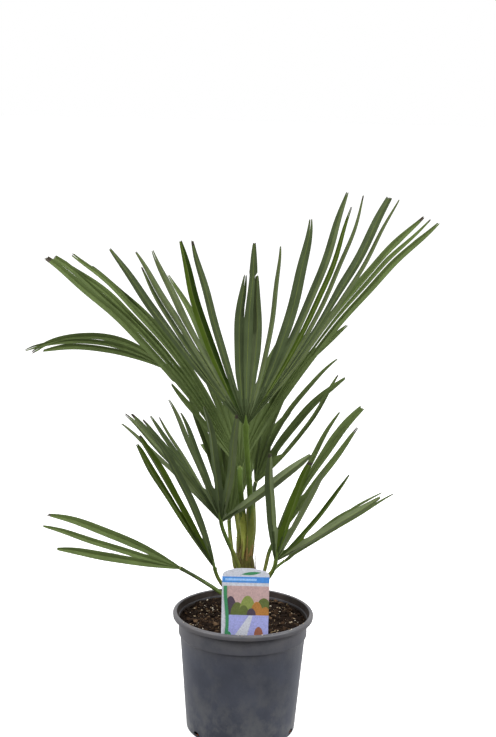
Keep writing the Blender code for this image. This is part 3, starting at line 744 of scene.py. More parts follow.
    def leaflet(self, index, margins):
        """Both halves of a leaflet, one of them often darker as painted shade. Beyond its split the rib
        parts
        """
        spots, across, ups = self.lines[index]
        count, split = self.counts[index], self.splits[index]
        ribs = {-1: [], 1: []}
        for row in range(count):
            if row < split:
                number = self.add(spots[row], lower=0.0003)
                ribs[-1].append(number)
                ribs[1].append(number)
                continue
            part = 0.30 * self.half_width(index, row) * (row - split + 1) / (count - split + 1)
            for sign in (-1, 1):
                ribs[sign].append(self.add(spots[row] + sign * part * across[row] + 0.3 * part * ups[row]))
        drawn = int(self.chance.choice(4, p=TONES[self.name]))
        tone = TONED.get((self.name, index), drawn)
        painted_shade_side = self.chance.choice((-1, 1)) if self.chance.random() < HALF_PAINTED_SHADE else 0
        length = self.leaflets[index][1] / 1000
        fold_shade_reach = self.chance.uniform(0.10, 0.26) * length
        brown = self.chance.uniform(0.003, 0.011) if self.chance.random() < 0.85 else 0.0
        shorter = self.chance.choice((-1, 1))
        for sign in (-1, 1):
            rows = self.half_columns(index, ribs[sign], margins[sign])
            tips = self.tips(index, rows[-1], sign == shorter)
            # Painted shade: the chosen half takes a darker tone, as if the light fell only on the other half
            half_tone = PAINTED_SHADE_TONE[tone] if sign == painted_shade_side else tone
            self.surface(rows, tips, sign, half_tone, (fold_shade_reach, length - brown), self.distances[index])

    def tips(self, index, last, short):
        """One tip for the half, or one for each of its strips where the leaflet is frayed"""
        spots = self.lines[index][0]
        forward = spots[-1] - spots[-2]
        places = [self.shape.points[number] for number in last]
        if index in self.frayed:
            tips = []
            for near, far in zip(places, places[1:]):
                tips.append(self.add((near + far) / 2 + forward * self.chance.uniform(0.1, 1.6)))
            return tips
        reach = self.chance.uniform(0.2, 0.7) if short else 1.0
        return [self.add(sum(places) / len(places) + forward * reach)] * (len(places) - 1)

    def surface(self, rows, tips, sign, tone, turns, distances):
        """Faces between rows, wound so that the upper face points up. The first strip is the rib. Painted
        shade darkens the pleat as far as the first of the two turns, and the tip is brown from the second"""
        def face(corners, slot, coords):
            self.shape.face(corners[::sign], slot, list(coords[::sign]))

        for row, (low, high) in enumerate(zip(rows, rows[1:])):
            near, far = distances[row], distances[row + 1]
            for strip in range(len(low) - 1):
                slot = RIB if strip == 0 else tone
                # Painted shade: near the hub the rib's strip and its neighbours take the fold colour, as the
                # valley lies in shade
                if near < turns[0] * (1.25, 1.0, 0.62, 0.0)[min(strip, 3)]:
                    slot = FOLD_PAINTED_SHADE
                if near > turns[1]:
                    slot = BROWN
                inner, outer = sign * strip * STRIP_COORD, sign * (strip + 1) * STRIP_COORD
                face((low[strip], high[strip], high[strip + 1], low[strip + 1]), slot,
                     ((inner, near), (inner, far), (outer, far), (outer, near)))
        last, near = rows[-1], distances[-2]
        for strip, tip in enumerate(tips):
            inner, outer = sign * strip * STRIP_COORD, sign * (strip + 1) * STRIP_COORD
            face((last[strip], tip, last[strip + 1]), BROWN if near > turns[1] else tone,
                 ((inner, near), ((inner + outer) / 2, distances[-1]), (outer, near)))

    def thicken(self):
        """The upper and lower faces, and a wall along every open edge"""
        middle = self.shape
        points = np.array(middle.points)
        normals = np.zeros_like(points)
        uses = set()
        for face in middle.faces:
            corners = points[list(face)]
            normal = np.cross(corners[2] - corners[0], corners[-1] - corners[1])
            if len(face) == 3:
                normal = np.cross(corners[1] - corners[0], corners[2] - corners[0])
            size = np.linalg.norm(normal)
            if size > 0:
                normals[list(face)] += normal / size
            uses.update(zip(face, face[1:] + face[:1]))
        sizes = np.linalg.norm(normals, axis=1, keepdims=True)
        normals = -normals / np.maximum(sizes, 1e-9)
        upper = points + normals * np.array(self.upper)[:, None]
        lower = points - normals * np.array(self.lower)[:, None]
        body = Shape()
        body.points = list(np.vstack([upper, lower]))
        shift = len(points)
        for face, slot, coords in zip(middle.faces, middle.slots, middle.coords):
            body.face(reversed(face), slot, coords[::-1])
            body.face([corner + shift for corner in face], UNDER if slot < RIB else slot, coords)
        for start, end in sorted(uses):
            if (end, start) not in uses:
                body.face((start, end, end + shift, start + shift), UNDER)
        return body


def make_blades(paints):
    for seed, name in enumerate(FRONDS):
        make_piece("blade_" + name, Blade(name, seed + 11).build(), paints, "frond_" + name)


# Petioles


def stem_radius(height):
    share = (height - SOIL_LEVEL) / (STEM_TOP_LEVEL - SOIL_LEVEL)
    flare = STEM_FLARE * max(0.0, 1 - share / FLARE_SHARE) ** 2
    return STEM_FOOT_RADIUS + (STEM_TOP_RADIUS - STEM_FOOT_RADIUS) * share + flare


def stem_centre(height):
    share = (height - SOIL_LEVEL) / (STEM_TOP_LEVEL - SOIL_LEVEL)
    x, y = (foot + (top - foot) * share for foot, top in zip(STEM_FOOT, STEM_TOP))
    return np.array([x, y, height])


def petiole_curve(petiole, frond, shares):
    """The source's cubic from the stem to the hub"""
    steepness, out = math.radians(petiole.steepness), polar(1.0, math.radians(petiole.bearing))
    if petiole.height is None:
        start = stem_centre(STEM_TOP_LEVEL) + out * petiole.reach
        start = start + UP * (CLEARANCE + petiole.radius * math.cos(steepness))
    else:
        reach = stem_radius(petiole.height) + CLEARANCE + petiole.radius * math.sin(steepness)
        start = stem_centre(petiole.height) + out * reach
    middle = frond_axes(frond)[0]
    end = hub_of(frond) - middle * CLEARANCE
    span = np.linalg.norm(end - start)
    start_way = out * math.cos(steepness) + UP * math.sin(steepness)
    first, second = start + start_way * span * START_HANDLE, end - middle * span * END_HANDLE
    shares = shares[:, None]
    keep = 1 - shares
    path = keep ** 3 * start + 3 * keep ** 2 * shares * first
    return path + 3 * keep * shares ** 2 * second + shares ** 3 * end


def spine(shape, spot, way, out, length, slot):
    """A short curved thorn on the petiole's edge"""
    across = unit(np.cross(way, out))
    rings = []
    for share in (0.0, 0.4, 0.75):
        radius = 0.00055 * (1 - share)
        centre = spot + out * length * share + way * length * 0.5 * share ** 2
        rings.append(shape.ring(centre, radius * way, radius * across, 5))
    rings.append([shape.point(spot + out * length + way * length * 0.5)] * 5)
    shape.tube(rings, slot)


def sheath(petiole, start):
    """The foot below the place where the petiole leaves the stem, sunk in the stem's side"""
    out = polar(1.0, math.radians(petiole.bearing))
    leaves_at = np.dot(start - stem_centre(start[2]), out)
    settled_at = 0.50 if petiole.height is None else 0.86
    places = []
    for share in np.linspace(1, 0, SHEATH_STEPS, endpoint=False):
        height = max(start[2] - SHEATH * share, SOIL_LEVEL)
        reach = leaves_at + (settled_at * stem_radius(height) - leaves_at) * smooth_step(share, 0.0, 0.7)
        places.append(stem_centre(height) + out * reach - UP * 0.0005 * share)
    return np.array(places), np.cross(UP, out)


def limb_ring(shape, spot, across, upward, wide, deep, place, seed):
    """A cross-section flat on its upper side and faintly ribbed"""
    ring = []
    for corner in range(PETIOLE_SIDES):
        angle = 2 * math.pi * (corner + 0.5) / PETIOLE_SIDES
        flat = 1 - 0.30 * max(0.0, math.sin(angle)) ** 2 + 0.02 * math.cos(5 * angle)
        groove = 1 + 0.035 * noise.noise(Vector((corner * 1.7, place * 20, seed)))
        offset = math.cos(angle) * across * wide + math.sin(angle) * upward * flat * deep
        ring.append(shape.point(spot + offset * groove))
    return ring


def limb_tone(tones, place, corner, seed):
    """The slot by the distance from where the petiole leaves the stem, with streaks and flecks"""
    angle = 2 * math.pi * corner / PETIOLE_SIDES
    streak = noise.noise(Vector((2.4 * math.cos(angle), 2.4 * math.sin(angle), place * 22 + seed)))
    fleck = noise.noise(Vector((corner * 1.9, place * 160, seed)))
    level = place + 0.035 * streak + 0.012 * fleck
    return tones[0] if level < -0.014 else tones[1] if level < 0.045 else tones[2]


def make_petiole(name, seed, paints):
    """A green limb, widened at its foot, that runs on under the blade as its keel"""
    chance = np.random.default_rng(seed)
    petiole, frond = PETIOLES[name], FRONDS[name]
    middle, side, normal = frond_axes(frond)
    path = petiole_curve(petiole, frond, np.linspace(0, 1, PETIOLE_STEPS))
    foot, tangent = sheath(petiole, path[0])
    if np.dot(tangent, side) < 0:
        tangent = -tangent
    places = np.vstack([foot, path, [path[-1] + middle * reach - normal * drop for reach, drop, _ in KEEL]])
    ways = [unit(way) for way in np.gradient(places, axis=0)]
    lengths = np.append(0.0, np.cumsum(np.linalg.norm(np.diff(places, axis=0), axis=1)))
    above = lengths - lengths[SHEATH_STEPS]
    shape, rings, acrosses = Shape(), [], []
    for step, (spot, way) in enumerate(zip(places, ways)):
        share = min(1.0, max(0.0, (step - SHEATH_STEPS) / (PETIOLE_STEPS - 1)))
        usual = petiole.radius * (1 - share) + petiole.tip * share
        spread = 1 - smooth_step(above[step], -0.030, 0.070 if petiole.height is None else 0.014)
        wide = usual * (1 + 0.12 * smooth_step(share, 0.9, 1.0)) * (1 - spread) + SHEATH_HALF_WIDTH * spread
        deep = usual * (1 - spread) + SHEATH_HALF_DEPTH * spread
        past = step - SHEATH_STEPS - PETIOLE_STEPS
        if past >= 0:
            wide = deep = usual * KEEL[past][2]
        turned = smooth_step(above[step], -0.010, 0.060)
        across = unit(tangent * (1 - turned) + side * turned)
        across = unit(across - way * np.dot(across, way))
        acrosses.append(across)
        rings.append(limb_ring(shape, spot, across, np.cross(way, across), wide, deep, above[step], seed))
    rust, green, brown = (slot_of(tone, LIMB_COLOURS) for tone in ("limb_rust", "limb_green", "spine_brown"))
    tones = [slot_of("limb_" + tone, LIMB_COLOURS) for tone in LIMB_TONES.get(name, USUAL_LIMB_TONES)]
    for place, here, there in zip(above, rings, rings[1:]):
        shape.join(here, there, lambda corner: limb_tone(tones, place, corner, seed))
    shape.close(rings, rust, green)
    count = int(0.55 * above[SHEATH_STEPS + PETIOLE_STEPS - 1] / SPINE_SPACING)
    for number in range(count):
        share = 0.02 + 0.68 * (number + chance.uniform(-0.3, 0.3)) / count
        step = SHEATH_STEPS + int(np.clip(share, 0.02, 0.95) * (PETIOLE_STEPS - 1))
        radius = petiole.radius * (1 - share) + petiole.tip * share
        out = acrosses[step] * (1 if number % 2 else -1)
        spot = places[step] + out * radius * 0.9
        spine(shape, spot, ways[step], out, chance.uniform(0.0014, 0.0028), brown)
    colour = "hastula_rust" if name == "back_high" else "hastula_pale"
    hastula(shape, path[-1], middle, side, normal, slot_of(colour, LIMB_COLOURS))
    make_piece("limb_" + name, shape, paints, "petiole_" + name)


def hastula(shape, hub, way, side, normal, slot):
    """The small ridge across the upper face where the blade begins"""
    rings = []
    for turn in np.linspace(0, math.pi, 9):
        size = max(0.12, math.sin(turn))
        centre = hub - side * math.cos(turn) * 0.0030 + way * (0.0016 * math.sin(turn)) + normal * 0.0006
        rings.append(shape.ring(centre, way * 0.0010 * size, normal * 0.0016 * size, 8))
    shape.tube(rings, slot)


# The stem


def base_swell(height, bearing):
    """How far the leaf bases stand out of the stem here, each below the petiole that it carries"""
    swell = 0.0
    for petiole in PETIOLES.values():
        away = abs(math.radians((math.degrees(bearing) - petiole.bearing + 180) % 360 - 180))
        below = (petiole.height or STEM_TOP_LEVEL + 0.004) - height
        if below > -0.003:
            width = 0.42 + 4.0 * max(0.0, below)
            edge = 1 / (1 + math.exp((away - width) * 28))
            nearness = smooth_step(-below, -0.05, 0.0)
            swell += edge * (0.0004 + 0.0011 * nearness * math.cos(min(away / width, 1) * 1.4))
    return swell


def make_stem(paints):
    """A bundle of overlapping leaf bases, brown low down, then russet, then green"""
    shape, rings = Shape(), []
    top = STEM_TOP_LEVEL + 0.004
    bearings = [2 * math.pi * side / STEM_SIDES for side in range(STEM_SIDES)]
    for height in np.linspace(SOIL_LEVEL - 0.004, top, STEM_LEVELS):
        ring = []
        for bearing in bearings:
            radius = stem_radius(height) - 0.0010 + base_swell(height, bearing)
            radius += 0.00035 * noise.noise(Vector(polar(9, bearing, height * 40)))
            radius *= 1 - 0.55 * smooth_step(height, STEM_TOP_LEVEL - 0.034, top)
            ring.append(shape.point(stem_centre(height) + polar(radius, bearing)))
        rings.append(ring)

    def tone(level, side):
        wander = noise.noise(Vector(polar(3, bearings[side], level * 0.05)))
        share = level / STEM_LEVELS + 0.35 * wander
        return 0 if share < 0.30 else 1 if share < 0.52 else 2

    for level, (here, there) in enumerate(zip(rings, rings[1:])):
        shape.join(here, there, lambda side: tone(level, side))
    shape.close(rings, 0, 2)
    make_piece("stem_bases", shape, paints, "stem")


def strand(shape, places, radius, slot=0, sides=5):
    """A thin tapering thread along these places"""
    rings = []
    for step, (spot, way) in enumerate(zip(places, np.gradient(np.array(places), axis=0))):
        way = unit(way)
        across = unit(np.cross(way, (0.31, 0.52, 0.79)))
        size = radius * (1 - 0.75 * step / (len(places) - 1))
        rings.append(shape.ring(spot, size * across, size * np.cross(way, across), sides))
    shape.tube(rings, slot)


def make_stem_fibres(paints):
    """Loose brown threads that lie up the stem and fray off its leaf bases"""
    chance = np.random.default_rng(41)
    shape = Shape()
    for _ in range(STEM_THREADS):
        low = chance.uniform(SOIL_LEVEL + 0.001, STEM_TOP_LEVEL - 0.02)
        reach = chance.uniform(0.015, 0.045)
        bearing, drift = chance.uniform(0, 2 * math.pi), chance.normal() * 0.35
        fray = chance.uniform(0.0, 0.0035)
        places = []
        for share in np.linspace(0, 1, 9):
            height = min(low + reach * share, STEM_TOP_LEVEL + 0.006)
            radius = stem_radius(height) + 0.0008 + fray * share ** 3
            places.append(stem_centre(height) + polar(radius, bearing + drift * share))
        strand(shape, places, chance.uniform(0.00015, 0.00035), int(chance.random() < 0.4))
    make_piece("stem_fibres", shape, paints)


# The pot


def wall_radius(height):
    return FOOT_RADIUS + (BODY_TOP_RADIUS - FOOT_RADIUS) * height / (POT_HEIGHT - RIM_HEIGHT)


def inner_radius(height):
    """The inside follows the outside, and steps out with the collar"""
    return wall_radius(height) + (COLLAR_STEP if height > COLLAR_FOOT else 0.0) - WALL


def arc(centre, radius, start, end, steps):
    """Points of (radius, height) on an arc, its angles in degrees"""
    turns = np.radians(np.linspace(start, end, steps))
    return [(centre[0] + radius * math.cos(turn), centre[1] + radius * math.sin(turn)) for turn in turns]


def pot_outline():
    """Over the rolled rim, down the collar and the wall, round the foot, and back up the inside: first the
    outer part, then the inner"""
    rim_foot = POT_HEIGHT - RIM_HEIGHT
    collar_radius = wall_radius(COLLAR_FOOT) + COLLAR_STEP
    land = RIM_RADIUS - RIM_LAND + RIM_CHAMFER
    outline = [(land, POT_HEIGHT)]
    outline += arc((RIM_RADIUS - RIM_ROUNDING, POT_HEIGHT - RIM_ROUNDING), RIM_ROUNDING, 80, 0, 9)
    outline += arc((RIM_RADIUS - RIM_DRAFT - 0.001, rim_foot + 0.001), 0.001, 0, -80, 5)
    outline += [(BODY_TOP_RADIUS + 0.0004, rim_foot - 0.0001), (BODY_TOP_RADIUS, rim_foot - UNDERCUT)]
    for share in (0.25, 0.5, 0.75):
        level = rim_foot + (COLLAR_FOOT - rim_foot) * share
        outline.append((BODY_TOP_RADIUS + (collar_radius - BODY_TOP_RADIUS) * share, level))
    outline += arc((collar_radius - 0.0012, COLLAR_FOOT + 0.0016), 0.0012, 0, -50, 5)
    outline.append((wall_radius(COLLAR_FOOT) + 0.0007, COLLAR_FOOT - 0.0004))
    outline.append((wall_radius(COLLAR_FOOT), COLLAR_FOOT - 0.0022))
    levels = np.linspace(COLLAR_FOOT - 0.008, FOOT_ROUNDING + 0.004, 14)
    outline += [(wall_radius(level), level) for level in levels]
    outline += arc((wall_radius(FOOT_ROUNDING) - FOOT_ROUNDING, FOOT_ROUNDING), FOOT_ROUNDING, 0, -90, 10)
    outline += [(0.0585, 0.0), (0.0575, 0.0008), (0.0300, 0.0008), (0.0292, 0.0), (0.0, 0.0)]
    inside = [(0.0, WALL), (wall_radius(WALL) - FOOT_ROUNDING, WALL)]
    inside += arc((inner_radius(FOOT_ROUNDING) - 0.004, FOOT_ROUNDING + WALL), 0.004, -60, 0, 4)
    inside += [(inner_radius(level), level) for level in np.linspace(0.03, COLLAR_FOOT, 6)]
    inside.append((inner_radius(COLLAR_FOOT) + COLLAR_STEP, COLLAR_FOOT + STEP_SLOPE))
    inside.append((inner_radius(rim_foot), rim_foot))
    inside += arc((land, POT_HEIGHT - RIM_CHAMFER), RIM_CHAMFER, 180, 90, 5)[:-1]
    return outline, inside


def make_pot(paints):
    """The closed outline turned about Z, with its inner part in the second slot, and its drain holes cut"""
    shape, cutter = Shape(), Shape()
    outside, inside = pot_outline()
    rings = []
    for radius, height in outside + inside:
        if radius < 1e-9:
            rings.append([shape.point(UP * height)] * POT_SIDES)
        else:
            rings.append(shape.ring(UP * height, polar(radius, 0), np.array([0.0, radius, 0.0]), POT_SIDES))
    for number, (here, there) in enumerate(zip(rings, rings[1:] + rings[:1])):
        shape.join(there, here, int(len(outside) <= number < len(rings) - 3))
    pot = make_piece("pot_shell", shape, paints, "pot", sharp=30)
    for bearing in drain_bearings():
        out = polar(1.0, bearing)
        across, tall = np.cross(UP, out) * DRAIN_HALF_WIDTH, UP * DRAIN_HALF_HEIGHT
        reaches = FOOT_RADIUS - 0.012, FOOT_RADIUS + 0.006
        cutter.tube([cutter.ring(out * reach + UP * DRAIN_LEVEL, across, tall, 28) for reach in reaches])
    apply_cut(pot, cutter)


def apply_cut(piece, cutter_shape):
    """Cuts the shape out of the piece and keeps the result as its mesh"""
    mesh = mesh_of("cutter", cutter_shape)
    cutter = linked("cutter", mesh)
    modifier = piece.modifiers.new("cut", "BOOLEAN")
    modifier.operation = "DIFFERENCE"
    modifier.solver = "EXACT"
    modifier.object = cutter
    depsgraph = bpy.context.evaluated_depsgraph_get()
    result = bpy.data.meshes.new_from_object(piece.evaluated_get(depsgraph))
    piece.modifiers.remove(modifier)
    old, piece.data = piece.data, result
    bpy.data.meshes.remove(old)
    bpy.data.objects.remove(cutter)
    bpy.data.meshes.remove(mesh)
    piece.data.shade_smooth()
    piece.data.set_sharp_from_angle(angle=math.radians(30))


# The peat


def soil_height(x, y):
    """Uneven ground: broad heaps, then lumps, lower at the wall, higher round the stem and at the back"""
    broad = noise.fractal(Vector((x * 45, y * 45, 3.7)), 0.9, 2.1, 4)
    fine = noise.fractal(Vector((x * 230, y * 230, 9.1)), 0.8, 2.2, 3)
    radius = math.hypot(x, y)
    near_wall = smooth_step(radius, 0.070, 0.088)
    near_stem = 1 - smooth_step(radius, 0.018, 0.040)
    back = smooth_step(y, 0.020, 0.080)
    height = 0.0026 * broad + 0.0017 * fine - 0.0012 * near_wall + 0.0015 * near_stem + 0.0035 * back
    return SOIL_LEVEL + 0.0004 + height


def make_soil(paint):
    """The ground in circles round its middle, and below it a side that fills the pot"""
    shape = Shape()
    angles = [2 * math.pi * side / SOIL_SIDES for side in range(SOIL_SIDES)]
    rings = [[shape.point((0, 0, soil_height(0, 0)))] * SOIL_SIDES]
    rim = inner_radius(SOIL_LEVEL) - 0.0002
    for circle in range(1, SOIL_CIRCLES + 1):
        spots = [polar(rim * circle / SOIL_CIRCLES, angle) for angle in angles]
        rings.append([shape.point((x, y, soil_height(x, y))) for x, y, _ in spots])
    walls = [(inner_radius(COLLAR_FOOT) + COLLAR_STEP - 0.0003, COLLAR_FOOT + STEP_SLOPE)]
    walls += [(inner_radius(level) - 0.0003, level) for level in (COLLAR_FOOT, 0.06, 0.03, 0.012, 0.0083)]
    walls.append((wall_radius(WALL) - FOOT_ROUNDING - 0.002, WALL + 0.0004))
    for wall, level in walls:
        ring = []
        for side, angle in enumerate(angles):
            rough = 0.0
            if WALL + 0.0004 < level < 0.02:
                rough = 0.0006 + 0.0008 * noise.noise(Vector((side * 0.9, level * 500, 0)))
            ring.append(shape.point(polar(wall - rough, angle, level)))
        rings.append(ring)
    for inner, outer in zip(rings, rings[1:]):
        for side in range(SOIL_SIDES):
            after = (side + 1) % SOIL_SIDES
            shape.face((inner[side], outer[side], outer[after], inner[after]))
    shape.face(reversed(rings[-1]))
    make_piece("peat_bed", shape, [paint], "soil", sharp=60)


def lump(chance, spot, size, squash=0.75, roughness=0.22):
    """An uneven small body: a ball of twenty or eighty faces with every corner moved"""
    ball = bmesh.new()
    bmesh.ops.create_icosphere(ball, subdivisions=2 if size > 0.0013 else 1, radius=1.0)
    stretch = np.array([1.0, chance.uniform(0.6, 1.0), chance.uniform(0.5, 1.0) * squash])
    along = polar(1.0, chance.uniform(0, 2 * math.pi))
    points = []
    for corner in ball.verts:
        place = np.array(corner.co) * (1 + roughness * chance.normal()) * stretch * size
        points.append(spot + place[0] * along + place[1] * np.cross(UP, along) + place[2] * UP)
    faces = [tuple(corner.index for corner in face.verts) for face in ball.faces]
    ball.free()
    return points, faces


def scattered(chance, count, reach=0.0826):
    """Places on the peat, clear of the stem, the pot's wall and the label's card"""
    places = []
    while len(places) < count:
        x, y, _ = polar(reach * math.sqrt(chance.random()), chance.uniform(0, 2 * math.pi))
        beside, before = abs(x - LABEL_CENTRE[0]) - LABEL_WIDTH / 2, abs(y - LABEL_CENTRE[1])
        at_stem = math.hypot(x - STEM_FOOT[0], y - STEM_FOOT[1]) <= STEM_CLEAR
        if not at_stem and max(beside, before) >= CARD_CLEAR:
            places.append((x, y))
    return places


def make_crumbs(paints):
    chance = np.random.default_rng(5)
    shape = Shape()
    for x, y in scattered(chance, CRUMBS):
        size = 0.0007 + 0.0030 * chance.random() ** 2.4
        points, faces = lump(chance, np.array([x, y, soil_height(x, y) + 0.25 * size]), size)
        shape.take(points, faces, int(chance.choice(3, p=(0.60, 0.30, 0.10))))
    make_piece("peat_crumbs", shape, paints, sharp=50)


def make_grains(paints):
    """White and cream grains, in drifts, with a few on the rim"""
    chance = np.random.default_rng(8)
    shape = Shape()
    kept = 0
    for x, y in scattered(chance, GRAIN_TRIES):
        drift = noise.noise(Vector((x * 30 + 5, y * 30, 1.5)))
        drift += 0.5 * noise.noise(Vector((x * 110, y * 110, 4.5)))
        if drift < chance.uniform(-0.15, 0.70) or kept > GRAINS:
            continue
        kept += 1
        size = 0.0005 + 0.0013 * chance.random() ** 1.8
        points, faces = lump(chance, np.array([x, y, soil_height(x, y) + 0.5 * size]), size, 0.85, 0.12)
        shape.take(points, faces, int(chance.choice(2, p=(0.35, 0.65))))
    for _ in range(RIM_GRAINS):
        angle = chance.uniform(-2.6, -0.4)
        spot = polar(RIM_RADIUS - chance.uniform(0.0012, 0.0042), angle, POT_HEIGHT + 0.0002)
        points, faces = lump(chance, spot, chance.uniform(0.0004, 0.0009), 0.8, 0.12)
        shape.take(points, faces, int(chance.choice(2)))
    make_piece("perlite_grains", shape, paints, sharp=50)


def make_litter(paints):
    """Bits of bark and straw that lie in the peat"""
    chance = np.random.default_rng(13)
    shape = Shape()
    for x, y in scattered(chance, LITTER, 0.083):
        angle, reach = chance.uniform(0, 2 * math.pi), chance.uniform(0.002, 0.008)
        lift = chance.uniform(0.0, 0.0022)
        places = []
        for share in (-0.5, -0.2, 0.1, 0.5):
            spot = np.array([x, y, 0.0]) + polar(reach * share, angle)
            places.append(spot + UP * (soil_height(spot[0], spot[1]) + 0.0003 + lift * (share + 0.5)))
        strand(shape, places, chance.uniform(0.00025, 0.0006), int(chance.choice(2)))
    make_piece("peat_litter", shape, paints)


def make_roots(paint):
    """Red-brown root ends that curl in the drain holes"""
    chance = np.random.default_rng(3)
    shape = Shape()
    for bearing in drain_bearings():
        out = polar(1.0, bearing)
        for _ in range(int(chance.integers(2, 5))):
            spread, turn = chance.uniform(-0.0038, 0.0038), chance.uniform(-0.004, 0.004)
            places = []
            for share in np.linspace(0, 1, 12):
                reach = FOOT_RADIUS - 0.0052 + 0.0050 * math.sin(share * math.pi)
                level = 0.0040 + 0.0036 * share + 0.0008 * math.sin(6 * share)
                places.append(out * reach + np.cross(UP, out) * (spread + turn * share) + UP * level)
            strand(shape, places, chance.uniform(0.0006, 0.0010), sides=7)
    make_piece("drain_roots", shape, [paint])


# The label


def card_outline():
    """The card from the front as (x, z), anticlockwise: straight sides, a softly arched head, and a stake"""
    half, stake = LABEL_WIDTH / 2, STAKE_WIDTH / 2
    outline = [(-0.002, STAKE_END), (0.002, STAKE_END), (stake, STAKE_END + 0.012), (stake, LABEL_FOOT)]
    outline += [(half - 0.002, LABEL_FOOT), (half, LABEL_FOOT + 0.002)]
    for turn in np.linspace(0, math.pi, 33):
        arch = max(0.0, math.sin(turn)) ** LABEL_ARCH_SQUARENESS
        outline.append((half * math.cos(turn), LABEL_SHOULDER + (LABEL_TOP - LABEL_SHOULDER) * arch))
    outline += [(-half, LABEL_FOOT + 0.002), (-half + 0.002, LABEL_FOOT)]
    return outline + [(-stake, LABEL_FOOT), (-stake, STAKE_END + 0.012)]


def lens(x, z, length, width, tilt):
    """A pointed leaf outline"""
    places, angle = [], math.radians(tilt)
    for turn in np.linspace(0, 2 * math.pi, 24, endpoint=False):
        along, across = math.cos(turn) * length / 2, math.sin(turn) * abs(math.sin(turn)) * width / 2
        places.append((x + along * math.cos(angle) - across * math.sin(angle),
                       z + along * math.sin(angle) + across * math.cos(angle)))
    return places


def make_label(paints):
    """A plain picture card: a blue bar, a lying leaf over it, and rounded bushes by a pale path"""
    shape = Shape()
    half = LABEL_WIDTH / 2
    left, right, foot, ground, top = -0.0245, half, LABEL_FOOT + 0.0012, 0.1885, 0.2285
    face = LABEL_CENTRE[1] - LABEL_THICKNESS / 2
    shape.prism(card_outline(), face, LABEL_CENTRE[1] + LABEL_THICKNESS / 2)

    def patch(outline, layer, colour):
        """A printed area, a few hundredths of a millimetre proud of the card"""
        slot = slot_of("card_" + colour, PRINT_COLOURS)
        shape.prism(outline, face - PRINT_LAYER * layer, LABEL_CENTRE[1], slot)

    def block(west, east, low, high, layer, colour):
        patch([(west, low), (east, low), (east, high), (west, high)], layer, colour)

    def mound(x, low, radius, tall, layer, colour):
        turns = np.radians(np.linspace(0, 180, 22))
        across = np.clip(x + radius * np.cos(turns), left, right)
        patch(list(zip(across, low + tall * np.sin(turns))), layer, colour)

    bar_low, bar_high = LABEL_SHOULDER - 0.0075, LABEL_SHOULDER + 0.0005
    block(-half, half, bar_low, bar_high, 1, "blue")
    block(-half + 0.004, 0.014, bar_low + 0.0026, bar_high - 0.0024, 2, "pale_blue")
    patch(lens(0.007, LABEL_SHOULDER + 0.0052, 0.026, 0.0042, 6), 1, "green")
    block(left, right, ground, top, 1, "pink")
    bushes = (
        (-0.019, 0.0085, 0.026, "plum"), (0.024, 0.0115, 0.024, "olive"), (-0.010, 0.0090, 0.018, "olive"),
        (0.003, 0.0110, 0.027, "moss"), (0.015, 0.0080, 0.019, "orange"), (-0.002, 0.0070, 0.014, "olive"),
        (0.026, 0.0065, 0.012, "orange"), (0.008, 0.0060, 0.010, "plum"),
    )
    for layer, (x, radius, tall, colour) in enumerate(bushes, 2):
        mound(x, ground, radius, tall, layer, colour)
    layer = 2 + len(bushes)
    block(left, right, foot, ground + 0.0004, layer, "violet")
    patch([(-0.016, foot), (0.002, foot), (0.010, ground), (0.005, ground)], layer + 1, "lilac")
    mound(0.018, foot + 0.004, 0.0060, 0.013, layer + 2, "clay")
    mound(-0.021, foot + 0.002, 0.0040, 0.008, layer + 3, "green")
    wave = []
    for share in np.linspace(0, 1, 24):
        wave.append((left - 0.0022 + 0.0016 * math.sin(share * 5.0), foot + (top - foot) * share))
    patch(wave[::-1] + [(x + 0.0042, z) for x, z in wave], layer + 4, "green")
    make_piece("label_card", shape, paints, "label")


# The stage


def make_stage():
    """A white floor that gives the plant no light of its own, and soft lamps at both sides and overhead"""
    floor = Shape()
    floor.face([floor.point(corner) for corner in ((-9, -6, 0), (9, -6, 0), (9, 14, 0), (-9, 14, 0))])
    white = Paint("floor_white", (0.9, 0.9, 0.9), 0.85, Emission_Color=(1, 1, 1, 1), Emission_Strength=0.6)
    thing = linked("floor", mesh_of("floor", floor))
    thing.data.materials.append(white.material)
    thing.visible_diffuse = thing.visible_glossy = False
    make_world()
    bpy.context.scene.view_settings.view_transform = "Standard"
    for name, (spot, size, power) in LAMPS.items():
        light = bpy.data.lights.new(name, "AREA")
        light.shape = "DISK"
        light.size = size
        light.energy = power
        lamp = linked(name, light)
        lamp.location = spot
        lamp.rotation_euler = (Vector(LAMP_AIM) - Vector(spot)).to_track_quat("-Z", "Y").to_euler()


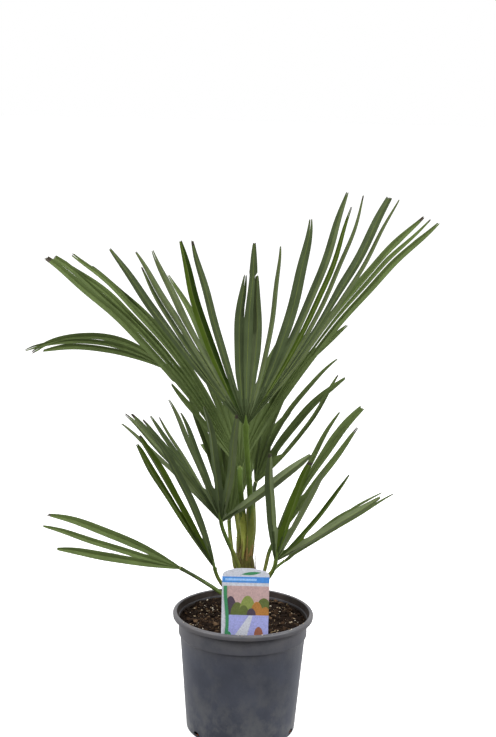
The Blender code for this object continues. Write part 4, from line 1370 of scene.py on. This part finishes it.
def make_world():
    """White to look at, and as a light dimmer towards the floor and brighter behind the plant"""
    world = bpy.data.worlds.new("studio")
    world.use_nodes = True
    nodes = Nodes(world.node_tree)
    way = nodes.node("ShaderNodeTexCoord").outputs["Generated"]
    parts = nodes.node("ShaderNodeSeparateXYZ", {"Vector": way}).outputs
    bright = nodes.ramp(parts["Z"], -0.6, 0.9, WORLD_LOW, WORLD_HIGH)
    both = nodes.maths("ADD", bright, nodes.ramp(parts["Y"], 0.1, 0.8, 0.0, WORLD_BACK))
    lit = nodes.node("ShaderNodeBackground", {"Color": (1, 1, 1), "Strength": both})
    seen = nodes.node("ShaderNodeBackground", {"Color": (1, 1, 1), "Strength": 1.0})
    straight = nodes.node("ShaderNodeLightPath").outputs["Is Camera Ray"]
    links = {0: straight, 1: lit.outputs["Background"], 2: seen.outputs["Background"]}
    chosen = nodes.node("ShaderNodeMixShader", links).outputs["Shader"]
    world.node_tree.links.new(chosen, world.node_tree.nodes["World Output"].inputs["Surface"])
    bpy.context.scene.world = world


def make_camera():
    camera = bpy.data.cameras.new("camera")
    camera.lens = CAMERA_LENS
    camera.sensor_width = CAMERA_SENSOR
    camera.sensor_fit = "AUTO"
    holder = linked("camera", camera)
    holder.location = CAMERA_SPOT
    dip = Matrix.Rotation(math.radians(90 - CAMERA_DIP), 3, "X")
    holder.rotation_euler = (dip @ Matrix.Rotation(math.radians(CAMERA_ROLL), 3, "Z")).to_euler()
    bpy.context.scene.camera = holder


def main():
    make_camera()
    make_stage()
    faces, veins = paint_all(leaf_paint, LEAF_COLOURS), paint_all(plain_paint, VEIN_COLOURS)
    make_blades(faces[:RIB] + veins + faces[RIB:])
    limb_paints = paint_all(plain_paint, LIMB_COLOURS)
    for seed, name in enumerate(PETIOLES):
        make_petiole(name, seed + 71, limb_paints)
    make_stem([fibre_paint(name, colour) for name, colour in STEM_COLOURS.items()])
    make_stem_fibres(paint_all(plain_paint, FIBRE_COLOURS))
    # The pot's inside is dark brown: partly a peat stain, partly painted shade within the wall
    make_pot([pot_paint(), plain_paint("pot_inside_stain_and_shade", (0.034, 0.026, 0.022), 0.7, 0.45, 120.0, shine=0.2)])
    make_soil(plain_paint("peat_dark", (0.014, 0.008, 0.005), 0.95, 0.5, 900.0, 0.0008, 0.1))
    make_crumbs(paint_all(plain_paint, CRUMB_COLOURS))
    make_grains(paint_all(plain_paint, GRAIN_COLOURS))
    make_litter(paint_all(plain_paint, LITTER_COLOURS))
    make_roots(plain_paint("root_red", (0.190, 0.060, 0.028), 0.7, 0.3))
    make_label([plain_paint(name, tone, 0.32, 0.16, 500.0, 0.00002) for name, tone in PRINT_COLOURS.items()])


main()
